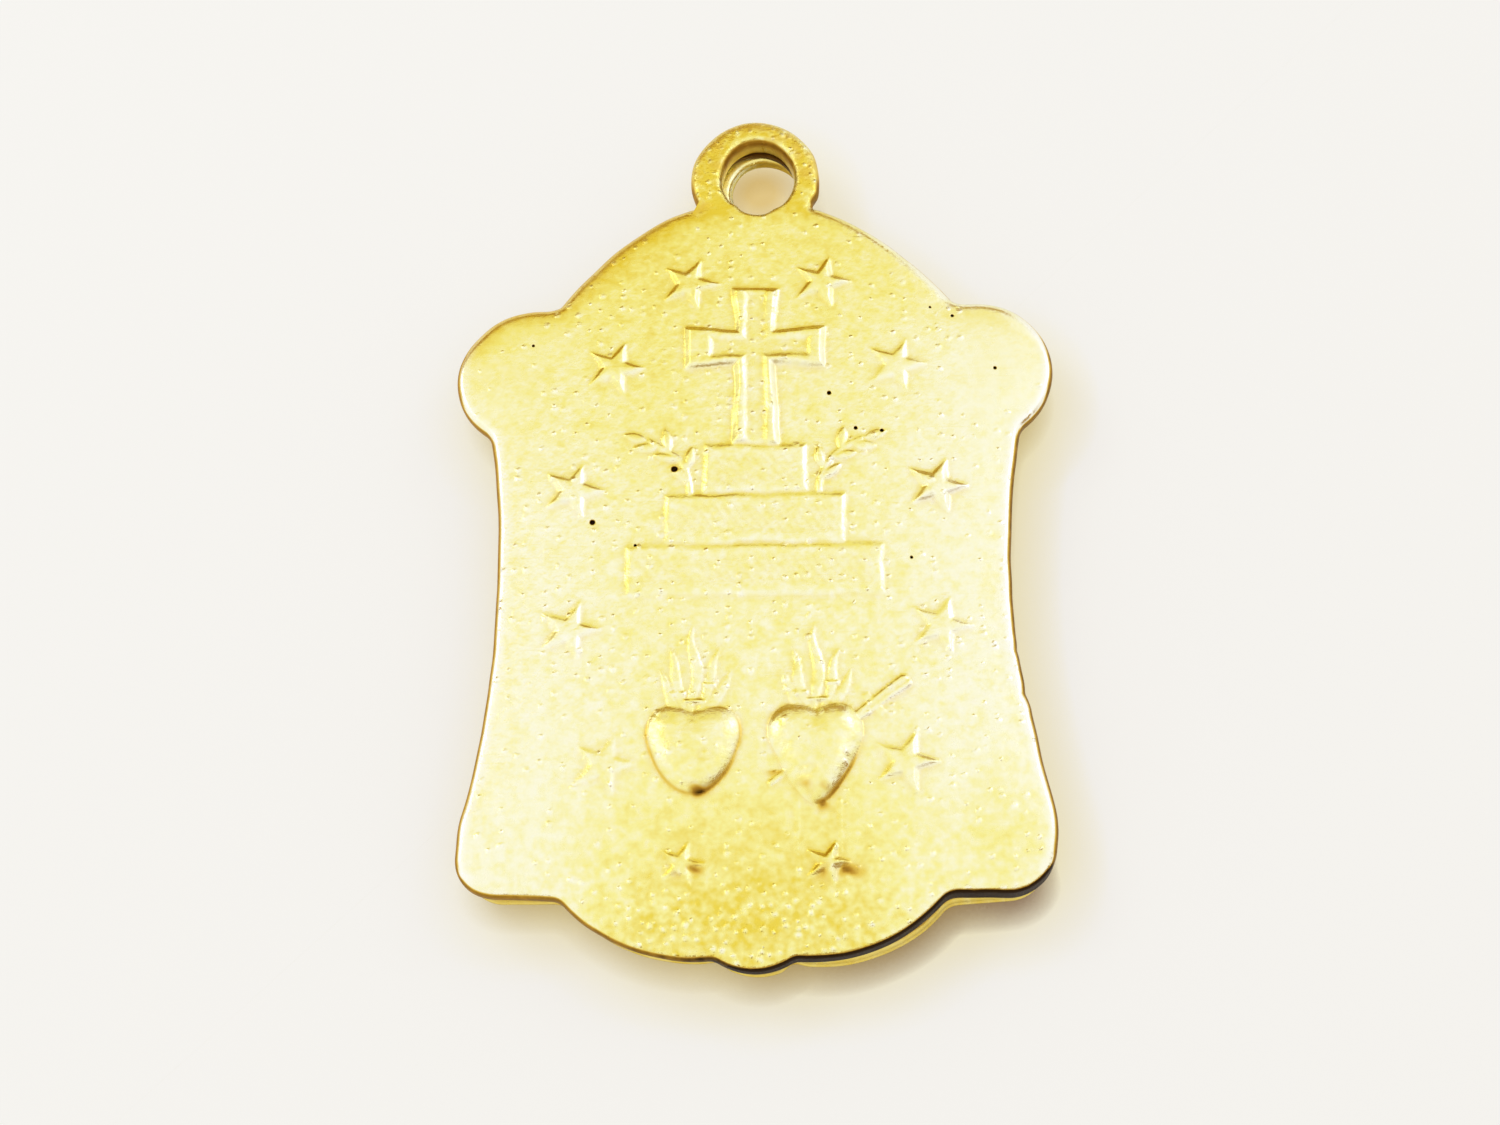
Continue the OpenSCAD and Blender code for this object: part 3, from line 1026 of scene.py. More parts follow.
    def _sword(self, x: Array, y: Array) -> Array:
        """Sword behind the right-hand heart, its hilt at the upper right."""
        middle = (self.heart_x + self.sword_right, -self.heart_down - self.sword_drop)
        px, py = turned(x, y, middle, -self.sword_lean)
        half = self.sword_len / 2.0
        blade = bar_gap(px, py, (0.0, -half), (0.0, half), self.sword_w * 0.35, self.sword_w * 0.75)
        fuller = 0.03 * bell(px, 0.07) * smooth((py - 0.6) / 0.4)
        guard = box_gap(px, py - half + self.guard_w * 1.4, self.guard_w / 2.0, self.sword_w / 2.6)
        return np.maximum(dome(blade, 0.065, 0.14, 0.6) - fuller, plateau(guard, 0.03, 0.12))


# Casting skin


@dataclass(frozen=True)
class CastSkin:
    """Uneven skin that the casting left on a face."""

    seed: int
    grain: float
    coarse: Figure

    def heights(self, x: Array, y: Array) -> Array:
        """Heights of the skin above the true face."""
        where = self.coarse(x, y)
        fine = 0.7 * Ripple(self.seed).at(x, y, 0.16) + 0.8 * Ripple(self.seed + 1).at(x, y, 0.3)
        broad = Ripple(self.seed + 2).at(x, y, 0.8)
        return self.grain * (where * fine + 1.2 * broad * np.sqrt(where))


def back_coarseness(x: Array, y: Array) -> Array:
    """How coarse the skin of the back is: most on the apron and the ear, least on the lobes."""
    lobes = smooth((np.abs(x) - 5.0) / 1.2) * bell(y - 6.6, 2.4)
    apron = bell(y + 9.3, 1.5) * bell(x, 4.2)
    ear = smooth((y - 11.8) / 1.0)
    right = smooth((x - 1.0) / 5.0) * smooth((y + 2.0) / 3.0)
    low = smooth((-2.5 - y) / 3.0)
    return np.clip(1.0 - 0.5 * lobes - 0.3 * right - 0.25 * low + 1.7 * apron + 1.4 * ear, 0.2, 3.2)


def front_coarseness(x: Array, y: Array) -> Array:
    """How coarse the skin of the front is: even all over."""
    return np.full_like(x, 0.8)


# Finishes


def socket(tree: bpy.types.NodeTree, name: str, way: str, kind: str, default: object = None) -> None:
    """Adds a named socket to a node group."""
    made = tree.interface.new_socket(name=name, in_out=way, socket_type=kind)
    if default is not None:
        made.default_value = default


class NodeBuilder:
    """Short way to write a shader node group or a material's tree."""

    def __init__(self, tree: bpy.types.NodeTree) -> None:
        """Takes the tree that the nodes go into."""
        self.tree = tree

    def put(self, target: bpy.types.NodeSocket, value: object) -> None:
        """Links an output socket to an input, or sets the input's value."""
        if isinstance(value, bpy.types.NodeSocket):
            self.tree.links.new(value, target)
        elif target.type == "RGBA" and len(value) == 3:
            target.default_value = (*value, 1.0)
        else:
            target.default_value = value

    def node(self, kind: str, settings: dict[str, object] | None = None,
             **inputs: object) -> bpy.types.Node:
        """Adds a node, sets its properties and fills its inputs.

        Args:
            kind: Node type.
            settings: Properties of the node.
            **inputs: Values or output sockets, by input name with _ for each space.

        Returns:
            The node.
        """
        made = self.tree.nodes.new(kind)
        for key, value in (settings or {}).items():
            setattr(made, key, value)
        for key, value in inputs.items():
            self.put(made.inputs[key.replace("_", " ")], value)
        return made

    def math(self, operation: str, first: object, second: object = 0.0,
             clamp: bool = False) -> bpy.types.NodeSocket:
        """Output of a Math node."""
        made = self.node("ShaderNodeMath", {"operation": operation, "use_clamp": clamp})
        self.put(made.inputs[0], first)
        self.put(made.inputs[1], second)
        return made.outputs[0]

    def mix(self, factor: object, first: object, second: object,
            blend: str = "MIX") -> bpy.types.NodeSocket:
        """Output of a colour Mix node."""
        made = self.node("ShaderNodeMix", {"data_type": "RGBA", "blend_type": blend})
        for number, value in ((0, factor), (6, first), (7, second)):
            self.put(made.inputs[number], value)
        return made.outputs[2]

    def times(self, first: object, second: object) -> bpy.types.NodeSocket:
        """Product of two values."""
        return self.math("MULTIPLY", first, second)

    def plus(self, first: object, second: object) -> bpy.types.NodeSocket:
        """Sum of two values."""
        return self.math("ADD", first, second)

    def spread(self, value: bpy.types.NodeSocket, low: float, high: float, to_low: float = 0.0,
               to_high: float = 1.0, soft: bool = False) -> bpy.types.NodeSocket:
        """Output of a clamped Map Range node, straight or eased."""
        way = "SMOOTHSTEP" if soft else "LINEAR"
        return self.node(
            "ShaderNodeMapRange", {"clamp": True, "interpolation_type": way}, Value=value,
            From_Min=low, From_Max=high, To_Min=to_low, To_Max=to_high,
        ).outputs[0]

    def noise(self, place: bpy.types.NodeSocket, scale: object, detail: float,
              roughness: float = 0.5) -> bpy.types.Node:
        """Noise texture node."""
        return self.node("ShaderNodeTexNoise", Vector=place, Scale=scale, Detail=detail,
                         Roughness=roughness)

    def attribute(self, name: str) -> bpy.types.NodeSocket:
        """A value that the mesh stores for each vertex."""
        return self.node("ShaderNodeAttribute", {"attribute_name": name}).outputs["Fac"]

    def place(self) -> bpy.types.NodeSocket:
        """Place on the object, in metres."""
        return self.node("ShaderNodeTexCoord").outputs["Object"]


def new_group(name: str) -> tuple[bpy.types.NodeTree, NodeBuilder, bpy.types.Node, bpy.types.Node]:
    """Empty node group with its builder, input node and output node."""
    tree = bpy.data.node_groups.new(name, "ShaderNodeTree")
    return tree, NodeBuilder(tree), tree.nodes.new("NodeGroupInput"), tree.nodes.new("NodeGroupOutput")


def new_material(name: str) -> tuple[bpy.types.Material, NodeBuilder]:
    """Empty material with its builder."""
    made = bpy.data.materials.new(name)
    made.use_nodes = True
    made.node_tree.nodes.clear()
    return made, NodeBuilder(made.node_tree)


def cast_grain_group() -> bpy.types.NodeTree:
    """Grain of cast and plated metal: a height for bump, specks of painted highlight on its bumps and a
    mottled shine.
    """
    tree, build, given, result = new_group("cast_grain")
    socket(tree, "Grains per metre", "INPUT", "NodeSocketFloat", 7000.0)
    socket(tree, "Scratches", "INPUT", "NodeSocketFloat", 0.3)
    for name in ("Height", "Mottle", "Specks"):
        socket(tree, name, "OUTPUT", "NodeSocketFloat")
    place, scale, coarse = build.place(), given.outputs["Grains per metre"], build.attribute("coarse")
    fine = build.noise(place, scale, 3.0, 0.55)
    broad = build.noise(place, build.times(scale, 0.13), 3.0)
    bent = build.node("ShaderNodeVectorMath", {"operation": "MULTIPLY_ADD"})
    bend = 0.1 * MM
    for number, value in enumerate((fine.outputs["Color"], (bend, bend, bend), place)):
        build.put(bent.inputs[number], value)
    cells = build.node("ShaderNodeTexVoronoi", {"voronoi_dimensions": "2D"}, Vector=bent.outputs[0],
                       Scale=build.times(scale, 0.42))
    chance = build.node("ShaderNodeSeparateColor", Color=cells.outputs["Color"])
    size = build.spread(chance.outputs[1], 0.0, 1.0, 0.22, 0.48)
    near = build.math("DIVIDE", cells.outputs["Distance"], size)
    round_top = build.spread(near, 0.0, 1.0, 1.0, 0.0, soft=True)
    likely = build.plus(chance.outputs[0], build.times(coarse, 0.3))
    grit = build.times(round_top, build.spread(likely, 1.0, 1.1))
    stretch = build.node("ShaderNodeMapping", Vector=place, Rotation=(0.0, 0.0, 0.6),
                         Scale=(0.25, 9.0, 1.0))
    lines = build.noise(stretch.outputs[0], build.times(scale, 0.2), 2.0)
    scratch = build.spread(lines.outputs["Fac"], 0.64, 0.74)
    cut = build.times(scratch, given.outputs["Scratches"])
    skin = build.times(build.times(fine.outputs["Fac"], coarse), 0.35)
    raised = build.plus(skin, build.times(grit, 0.5))
    # How strongly the bumps' tops are painted with highlight, more where the skin is coarse.
    highlight_share = build.plus(build.times(coarse, 0.55), 0.45)
    build.put(result.inputs["Height"], build.math("SUBTRACT", raised, cut))
    build.put(result.inputs["Mottle"], build.spread(broad.outputs["Fac"], 0.35, 0.65))
    build.put(result.inputs["Specks"], build.times(grit, highlight_share))
    return tree


def plating_group() -> bpy.types.NodeTree:
    """Colour of the plating along its tone, from deep up to the glint of painted highlights, mottled and
    with specks of painted highlight.
    """
    tree, build, given, result = new_group("plating")
    tones = ("Deep", "Rich", "Pale", "Glint")
    for name in tones:
        socket(tree, name, "INPUT", "NodeSocketColor", (0.9, 0.8, 0.3, 1.0))
    for name in ("Mottle", "Specks"):
        socket(tree, name, "INPUT", "NodeSocketFloat", 1.0)
    socket(tree, "Color", "OUTPUT", "NodeSocketColor")
    place = build.place()
    fine, cloud = build.noise(place, 4600.0, 1.0), build.noise(place, 1700.0, 2.0)
    grain = build.plus(fine.outputs["Fac"], build.times(cloud.outputs["Fac"], 0.7))
    middle = 0.85
    rough = build.math("POWER", build.attribute("coarse"), 0.45)
    even = build.times(build.math("SUBTRACT", grain, middle), rough)
    mottle = build.times(even, given.outputs["Mottle"])
    tone = build.plus(build.attribute("plating"), build.plus(mottle, given.outputs["Specks"]))
    colour = given.outputs[tones[0]]
    for number, name in enumerate(tones[1:]):
        share = build.spread(tone, 0.5 * number, 0.5 * number + 0.5)
        colour = build.mix(share, colour, given.outputs[name])
    build.put(result.inputs["Color"], colour)
    return tree


def grime_and_shade_group() -> bpy.types.NodeTree:
    """Golden stain where the hollow value is low, brown where it is higher, and then black: dirt and
    painted shade in the hollows of the relief, and painted shade on walls, seams and edges.
    """
    tree, build, given, result = new_group("grime_and_painted_shade")
    stages = (("Stain", 0.0, 0.5), ("Tarnish", 0.5, 1.0), ("Dirt", 1.0, 2.0))
    for name in ("Color", *(stage[0] for stage in stages)):
        socket(tree, name, "INPUT", "NodeSocketColor", (0.5, 0.3, 0.1, 1.0))
    socket(tree, "Color", "OUTPUT", "NodeSocketColor")
    socket(tree, "Mask", "OUTPUT", "NodeSocketFloat")
    broken = build.noise(build.place(), 3600.0, 3.0)
    uneven = build.spread(broken.outputs["Fac"], 0.3, 0.7, 0.75, 1.0)
    amount = build.times(build.attribute("hollow"), uneven)
    colour = given.outputs["Color"]
    for name, low, high in stages:
        colour = build.mix(build.spread(amount, low, high), colour, given.outputs[name])
    build.put(result.inputs["Color"], colour)
    build.put(result.inputs["Mask"], build.math("MINIMUM", amount, 1.0))
    return tree


@dataclass(frozen=True)
class MetalFinish:
    """Plated or soldered metal: its colours, shine and skin."""

    name: str
    deep: Colour
    rich: Colour
    pale: Colour
    glint: Colour
    # The stain, tarnish and dirt colours serve both for dirt and for painted shade.
    stain: Colour
    tarnish: Colour
    dirt: Colour
    smooth_r: float
    rough_r: float
    grains: float
    bump: float
    scratches: float
    mottle: float
    specks: float

    GRIME_ROUGH = 0.25

    def material(self, groups: dict[str, bpy.types.NodeTree]) -> bpy.types.Material:
        """Builds the material from the shared groups.

        Args:
            groups: The node groups by name.

        Returns:
            The material.
        """
        made, build = new_material(self.name)
        grain = build.node("ShaderNodeGroup", {"node_tree": groups["cast_grain"]},
                           Grains_per_metre=self.grains, Scratches=self.scratches)
        plating = build.node("ShaderNodeGroup", {"node_tree": groups["plating"]},
                             Deep=self.deep, Rich=self.rich, Pale=self.pale, Glint=self.glint,
                             Mottle=self.mottle, Specks=build.times(grain.outputs["Specks"], self.specks))
        grime_shade = build.node("ShaderNodeGroup", {"node_tree": groups["grime_and_painted_shade"]},
                           Color=plating.outputs["Color"], Stain=self.stain, Tarnish=self.tarnish,
                           Dirt=self.dirt)
        shine = build.spread(grain.outputs["Mottle"], 0.0, 1.0, self.smooth_r, self.rough_r)
        dull = build.times(grime_shade.outputs["Mask"], self.GRIME_ROUGH)
        bump = build.node("ShaderNodeBump", Height=grain.outputs["Height"], Strength=1.0,
                          Distance=self.bump * MM)
        shader = build.node("ShaderNodeBsdfPrincipled", Base_Color=grime_shade.outputs["Color"], Metallic=1.0,
                            Roughness=build.math("ADD", shine, dull, clamp=True), Normal=bump.outputs[0])
        build.node("ShaderNodeOutputMaterial", Surface=shader.outputs[0])
        return made


GILT_BACK = MetalFinish(
    name="gilt_back", deep=(0.85, 0.68, 0.085), rich=(0.94, 0.88, 0.33), pale=(0.975, 0.96, 0.7),
    glint=(0.99, 0.985, 0.9), stain=(0.8, 0.58, 0.1), tarnish=(0.5, 0.27, 0.03), dirt=(0.03, 0.014, 0.004),
    smooth_r=0.18, rough_r=0.3, grains=8000.0, bump=0.042, scratches=0.04, mottle=0.85, specks=0.35,
)
GILT_FRONT = MetalFinish(
    name="gilt_front", deep=(0.79, 0.6, 0.08), rich=(0.93, 0.84, 0.32), pale=(0.97, 0.94, 0.62),
    glint=(0.99, 0.98, 0.85), stain=(0.72, 0.5, 0.08), tarnish=(0.42, 0.25, 0.045),
    dirt=(0.035, 0.017, 0.005), smooth_r=0.2, rough_r=0.34, grains=8000.0, bump=0.03, scratches=0.03,
    mottle=0.8, specks=0.3,
)
DULL_SOLDER = MetalFinish(
    name="dull_solder", deep=(0.16, 0.09, 0.03), rich=(0.24, 0.15, 0.05), pale=(0.4, 0.3, 0.12),
    glint=(0.5, 0.4, 0.2), stain=(0.2, 0.12, 0.04), tarnish=(0.1, 0.06, 0.02), dirt=(0.04, 0.02, 0.01),
    smooth_r=0.4, rough_r=0.6, grains=5000.0, bump=0.03, scratches=0.0, mottle=1.0, specks=0.2,
)


# The medal's pieces


class Slot(Enum):
    """Material slots of the record."""

    BACK = "struck_gold_back"
    SOLDER = "solder"
    FRONT = "struck_gold_front"


def add_object(name: str, data: bpy.types.ID) -> bpy.types.Object:
    """Puts a mesh, a lamp or a camera into the scene."""
    made = bpy.data.objects.new(name, data)
    bpy.context.scene.collection.objects.link(made)
    return made


def vertex_places(mesh: bpy.types.Mesh) -> Array:
    """Places of a mesh's vertices, in metres."""
    places = np.empty(len(mesh.vertices) * 3)
    mesh.vertices.foreach_get("co", places)
    return places.reshape(-1, 3)


def vertex_normals(mesh: bpy.types.Mesh) -> Array:
    """Normals of a mesh's vertices."""
    normals = np.empty(len(mesh.vertices) * 3)
    mesh.vertex_normals.foreach_get("vector", normals)
    return normals.reshape(-1, 3)


def hollows(mesh: bpy.types.Mesh, reach: float, rounds: int) -> Array:
    """How far each point lies below its surroundings, from 0 to 1.

    Args:
        mesh: The mesh.
        reach: Depth that counts as fully hollow, in millimetres.
        rounds: How often the surroundings are averaged.

    Returns:
        One value for each vertex.
    """
    places = vertex_places(mesh)
    count = len(places)
    edges = np.empty(len(mesh.edges) * 2, int)
    mesh.edges.foreach_get("vertices", edges)
    a, b = edges.reshape(-1, 2).T
    links = np.bincount(a, minlength=count) + np.bincount(b, minlength=count)
    around = places.copy()
    for _ in range(rounds):
        total = np.empty_like(around)
        for axis in range(3):
            values = around[:, axis]
            total[:, axis] = np.bincount(a, values[b], count) + np.bincount(b, values[a], count)
        around = 0.5 * around + 0.5 * total / links[:, None]
    below = ((around - places) * vertex_normals(mesh)).sum(1)
    return np.clip(below / (reach * MM), 0.0, 1.0)


def paint(mesh: bpy.types.Mesh, name: str, values: Array) -> None:
    """Stores one value for each vertex, for the materials to read."""
    mesh.attributes.new(name, "FLOAT", "POINT").data.foreach_set("value", values.astype(np.float32))


def add_piece(name: str, mesh: bpy.types.Mesh, material: bpy.types.Material, node: str) -> bpy.types.Object:
    """Puts a mesh into the scene in place of a CAD node.

    Args:
        name: Name of the piece.
        mesh: Its mesh, in the frame.
        material: Its finish.
        node: CAD node that it stands for.

    Returns:
        The object.
    """
    piece = add_object(name, mesh)
    mesh.materials.append(material)
    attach(piece, BODY)
    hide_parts(node)
    return piece


BACK_DENTS = (
    Dent((7.0, -2.95), 0.07, 0.2), Dent((7.05, -3.4), -0.04, 0.12), Dent((6.86, -1.75), 0.04, 0.15),
    Dent((1.95, 12.4), -0.12, 0.22), Dent((1.75, 13.3), 0.04, 0.4), Dent((-3.5, 10.75), -0.14, 1.8),
    Dent((3.6, 10.7), -0.05, 1.8), Dent((7.3, 8.1), -0.08, 1.3), Dent((-8.05, 6.4), -0.1, 1.8),
    Dent((-6.8, 0.0), -0.07, 3.5), Dent((-7.5, -7.6), -0.08, 1.0), Dent((-2.6, 11.6), -0.08, 0.8),
    Dent((4.8, -8.7), 0.1, 2.2), Dent((7.2, -8.2), 0.08, 1.0), Dent((-6.4, -8.3), 0.06, 1.2),
    Dent((7.45, -6.3), -0.14, 1.5), Dent((6.95, -3.9), -0.14, 1.6),
)
HOLE_BURRS = (Dent((-0.62, 11.98), -0.1, 0.14), Dent((0.5, 11.98), -0.05, 0.2))


@dataclass
class BackPlate:
    """Struck back of the medal with its ear, its relief and its worn edges."""

    outline: Outline
    relief: BackRelief = field(default_factory=BackRelief)
    node: str = "back_plate"
    spacing: float = 0.073
    under_spacing: float = 0.9
    far_edge_r: float = 0.36
    side_edge_r: float = 0.2
    foot_edge_r: float = 0.13
    far_under_r: float = 0.14
    side_under_r: float = 0.38
    foot_under_r: float = 0.12
    hole_edge_r: float = 0.2
    hole_under_r: float = 0.1
    far_grow: float = 0.24
    pillow: float = 0.06
    pillow_w: float = 0.75
    far_roll: float = 0.07
    far_roll_w: float = 0.4
    hole_centre: Point = (0.07, 12.97)
    hole_half_w: float = 1.02
    hole_up: float = 1.28
    hole_down: float = 1.17
    hole_point: float = 0.1
    droop: float = 0.17
    droop_from: float = -5.6
    relief_top: float = 0.3
    pinhole_deep: float = 0.1

    FIELD_TONE = 0.72
    GLINT_TONE = 1.5

    def foot_share(self, y: Array, facing: Array) -> Array:
        """How far an edge belongs to the foot: its walls face down the medal."""
        return smooth((self.outline.foot_y + 1.4 - y) / 0.5) * smooth((-0.3 - facing[:, 1]) / 0.35)

    def rims(self) -> list[Rim]:
        """Outer edge and ear hole, with their nicks and burrs."""
        o = self.outline
        edge = worn(o.loop(), BACK_DENTS, waviness=0.014, seed=5)
        edge = edge + np.outer(self.far_grow * np.clip(outward(edge)[:, 1], 0.0, 1.0), (0.0, 1.0))
        facing = outward(edge)
        far = smooth((facing[:, 1] - 0.1) / 0.6)
        foot = self.foot_share(edge[:, 1], facing)
        left = smooth(0.3 - edge[:, 0] / 4.0)
        over = self.side_edge_r + (self.far_edge_r - self.side_edge_r) * far
        over = over + (self.foot_edge_r - over) * foot
        under = self.side_under_r + (self.far_under_r - self.side_under_r) * far
        under = under + (self.foot_under_r - under) * foot * (1.0 - left)
        hole = egg(self.hole_centre, self.hole_half_w, self.hole_up, self.hole_down, self.hole_point,
                   o.step)
        hole = worn(hole, HOLE_BURRS, waviness=0.02, seed=6)
        return [Rim(edge, over, under), Rim(hole, self.hole_edge_r, self.hole_under_r)]

    def heights(self, face: PlateFace, level: float) -> Array:
        """Heights of the back's face.

        Args:
            face: The face, flat.
            level: Height of the true face.

        Returns:
            Heights of its points.
        """
        x, y = face.places.T
        edge, hole = face.insets
        far = smooth((face.facing[:, 1] - 0.1) / 0.6)
        z = level - face.drop - self.pillow * bell(edge, self.pillow_w) - 0.02 * bell(hole, 0.3)
        z -= self.far_roll * far * bell(edge, self.far_roll_w)
        low = np.clip((self.droop_from - y) / (self.droop_from - self.outline.tip_y), 0.0, 1.0)
        z -= self.droop * low**2
        inner = smooth((edge - 0.1) / 0.4) * smooth((hole - 0.1) / 0.3)
        skin = CastSkin(seed=11, grain=0.003, coarse=back_coarseness)
        z += self.relief.heights(x, y) * inner
        z += skin.heights(x, y) * (0.3 + 0.7 * inner)
        return z - self.pinhole_deep * pinhole_share(x, y, wide=1.2, soft=0.6)

    def tone(self, x: Array, y: Array, inset: Array, facing: Array) -> Array:
        """Tone of the back: deep at the ear and apron, rich at the top, pale at the sides, with a painted
        highlight along the side edges and painted shade on the rounded edges that face the ear, most on the
        left.

        Args:
            x: Points' x.
            y: Points' y.
            inset: Their distances from the outer edge.
            facing: Which way the nearest edge faces.

        Returns:
            Tones from 0, deep, up to the glint of the painted highlights.
        """
        sides = 0.26 * smooth((np.abs(x) - 2.5) / 3.2)
        upper_left = 0.2 * smooth((y - 2.0) / 3.5) * smooth(-x / 4.0)
        left_lobe = 0.06 * bell(x + 6.3, 1.6) * bell(y - 6.5, 1.8)
        top = 0.22 * bell(y - 10.5, 2.6)
        low = 0.34 * bell(y + 6.9, 1.7) * bell(x, 4.2)
        low_right = 0.35 * bell(y + 6.9, 1.6) * bell(x - 6.4, 1.6)
        apron = 0.5 * bell(y + 9.3, 1.5) * bell(x, 4.6)
        ear = 0.9 * smooth((y - self.outline.arch_top + 1.4) / 1.4)
        ear_top = 0.4 * smooth((y - self.outline.ear_y - 1.0) / 0.7)
        # Painted highlight along the rounded edges that face left and right.
        painted_side_highlight = 0.6 * bell(inset - 0.14, 0.14) * smooth((np.abs(facing[:, 0]) - 0.5) / 0.4)
        # Painted shade on the rounded edges that face the ear, mostly on the left.
        painted_far_edge_shade = 0.6 * bell(inset, 0.55) * smooth((facing[:, 1] - 0.1) / 0.5) * smooth((1.5 - x) / 5.0)
        darker = upper_left + left_lobe + top + low + low_right + apron + ear + painted_far_edge_shade
        return np.clip(self.FIELD_TONE + sides + painted_side_highlight + ear_top - darker, 0.0, self.GLINT_TONE)

    def build(self, material: bpy.types.Material, shift: Point) -> bpy.types.Object:
        """Models the plate where the CAD node is.

        Args:
            material: Finish of the back.
            shift: Move into the frame, in millimetres.

        Returns:
            The piece.
        """
        low, high = (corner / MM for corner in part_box(self.node))
        plate = Plate(self.rims())
        top = plate.face(True, self.spacing, self.relief.heights, PINHOLES)
        bottom = plate.face(False, self.under_spacing)
        top_z = self.heights(top, high.z - self.relief_top)
        mesh, wall = plate.mesh("struck_back_plate", top, top_z, bottom, low.z + bottom.drop, shift)
        self.dress(mesh, wall, plate, shift)
        return add_piece("struck_back_plate", mesh, material, self.node)

    def dress(self, mesh: bpy.types.Mesh, wall: Array, plate: Plate, shift: Point) -> None:
        """Stores the plating with painted highlights and shade, the dirt with painted shade, and the
        coarseness of the surface.

        Args:
            mesh: The plate's mesh.
            wall: How far each point belongs to a wall.
            plate: The plate that the mesh was made from.
            shift: Move into the frame, in millimetres.
        """
        x, y, z = vertex_places(mesh).T / MM
        x, y = x - shift[0], y - shift[1]
        spots = np.stack((x, y), 1)
        normals = vertex_normals(mesh)
        inset, near = plate.rims[0].reach(spots)
        facing = plate.rims[0].normals[near]
        hole = plate.rims[1].reach(spots)[0]
        far = smooth((facing[:, 1] - 0.1) / 0.5)
        # Dirt and painted shade in the hollows of the relief, and the gas holes painted near black as
        # painted shade.
        dirt = 0.55 * hollows(mesh, reach=0.04, rounds=8) + 2.4 * pinhole_share(x, y, wide=1.45, soft=0.5)
        # Painted shade on the rounded edges that face the ear, and along the hearts.
        painted_far_edge_shade = 0.5 * far * bell(inset, 0.36) * smooth((1.0 - x) / 4.0)
        dirt = np.maximum(dirt, 1.1 * self.relief.heart_edge_shade(x, y)) + painted_far_edge_shade
        broken = np.clip(0.5 + 1.4 * Ripple(41).at(x, y, 0.22), 0.0, 1.4)
        dirt = dirt + broken * (sum(smudge.share(x, y) for smudge in SMUDGES) + 0.28 * self.ear_share(y))
        # Painted highlight round the bevel of the ear's hole.
        chamfer_highlight = 0.5 * bell(hole - 0.05, 0.12) * (hole > -0.5)
        # Painted light and shade on the relief's slopes, away from the edges and little on the hearts.
        face = smooth((0.05 - wall) / 0.05) * smooth((inset - 0.4) / 0.3)
        face = face * (1.0 - 0.8 * self.relief.on_hearts(x, y))
        even = 1.0 - 0.6 * face * smooth((np.hypot(normals[:, 0], normals[:, 1]) - 0.2) / 0.3)
        slope_shading = face * self._flank_light_and_shade(normals)
        paint(mesh, "plating", self.tone(x, y, inset, facing) + chamfer_highlight + slope_shading)
        # The hollow value holds dirt and smudges together with painted shade on the walls, along the
        # hearts, in the gas holes and on the edges that face the ear.
        paint(mesh, "hollow", np.maximum(dirt, self._wall_shade((x, y, z), wall, facing, hole < inset)))
        paint(mesh, "coarse", back_coarseness(x, y) * even * (1.0 - 0.8 * smooth(wall / 0.5)))

    def ear_share(self, y: Array) -> Array:
        """How far points belong to the ear, above the arch."""
        return smooth((y - self.outline.arch_top) / 0.6)

    def _wall_shade(self, place: Sequence[Array], wall: Array, facing: Array, in_hole: Array) -> Array:
        """Painted shade on the walls: thickest along the right of the foot, and on the upper wall of the
        ear's hole.

        Args:
            place: Points' x, y and z.
            wall: How far each point belongs to a wall.
            facing: Which way the nearest outer edge faces.
            in_hole: Which points lie nearer to the ear's hole than to the outer edge.

        Returns:
            Painted shade from 0 to about 2.
        """
        x, y, z = place
        foot = self.foot_share(y, facing)
        right = smooth((facing[:, 0] - 0.2) / 0.4)
        far = smooth((facing[:, 1] - 0.1) / 0.5)
        foot_shade = foot * smooth((x + 4.0) / 5.0)
        under = smooth((-0.2 - facing[:, 1]) / 0.4) * (1.0 - foot)
        shade_start = 0.1 + 0.25 * far * smooth((x + 1.0) / 3.0) + 0.3 * under - 0.05 * foot_shade
        outer = 1.2 - 0.5 * far + 0.35 * right + 0.2 * foot + 1.2 * foot_shade
        outer = outer * (1.0 - 0.6 * self.ear_share(y))
        upper = smooth((z - z.min() - 0.25) / 0.25)
        above = smooth((y - self.hole_centre[1]) / 0.7)
        inner = 0.3 + above * (0.25 + 0.7 * upper)
        return smooth((wall - shade_start) / 0.22) * np.where(in_hole, inner, outer)

    @staticmethod
    def _flank_light_and_shade(normals: Array) -> Array:
        """Painted light and shade on the relief's slopes by the way they face: paler to the right and foot,
        deeper to the left and ear.
        """
        to_right, to_left, to_ear = normals[:, 0], -normals[:, 0], normals[:, 1]
        across = 0.26 * smooth((to_right - 0.06) / 0.2) - 0.2 * smooth((to_left - 0.1) / 0.25)
        return across - 0.3 * smooth((to_ear - 0.08) / 0.25) + 0.15 * smooth((-to_ear - 0.12) / 0.2)


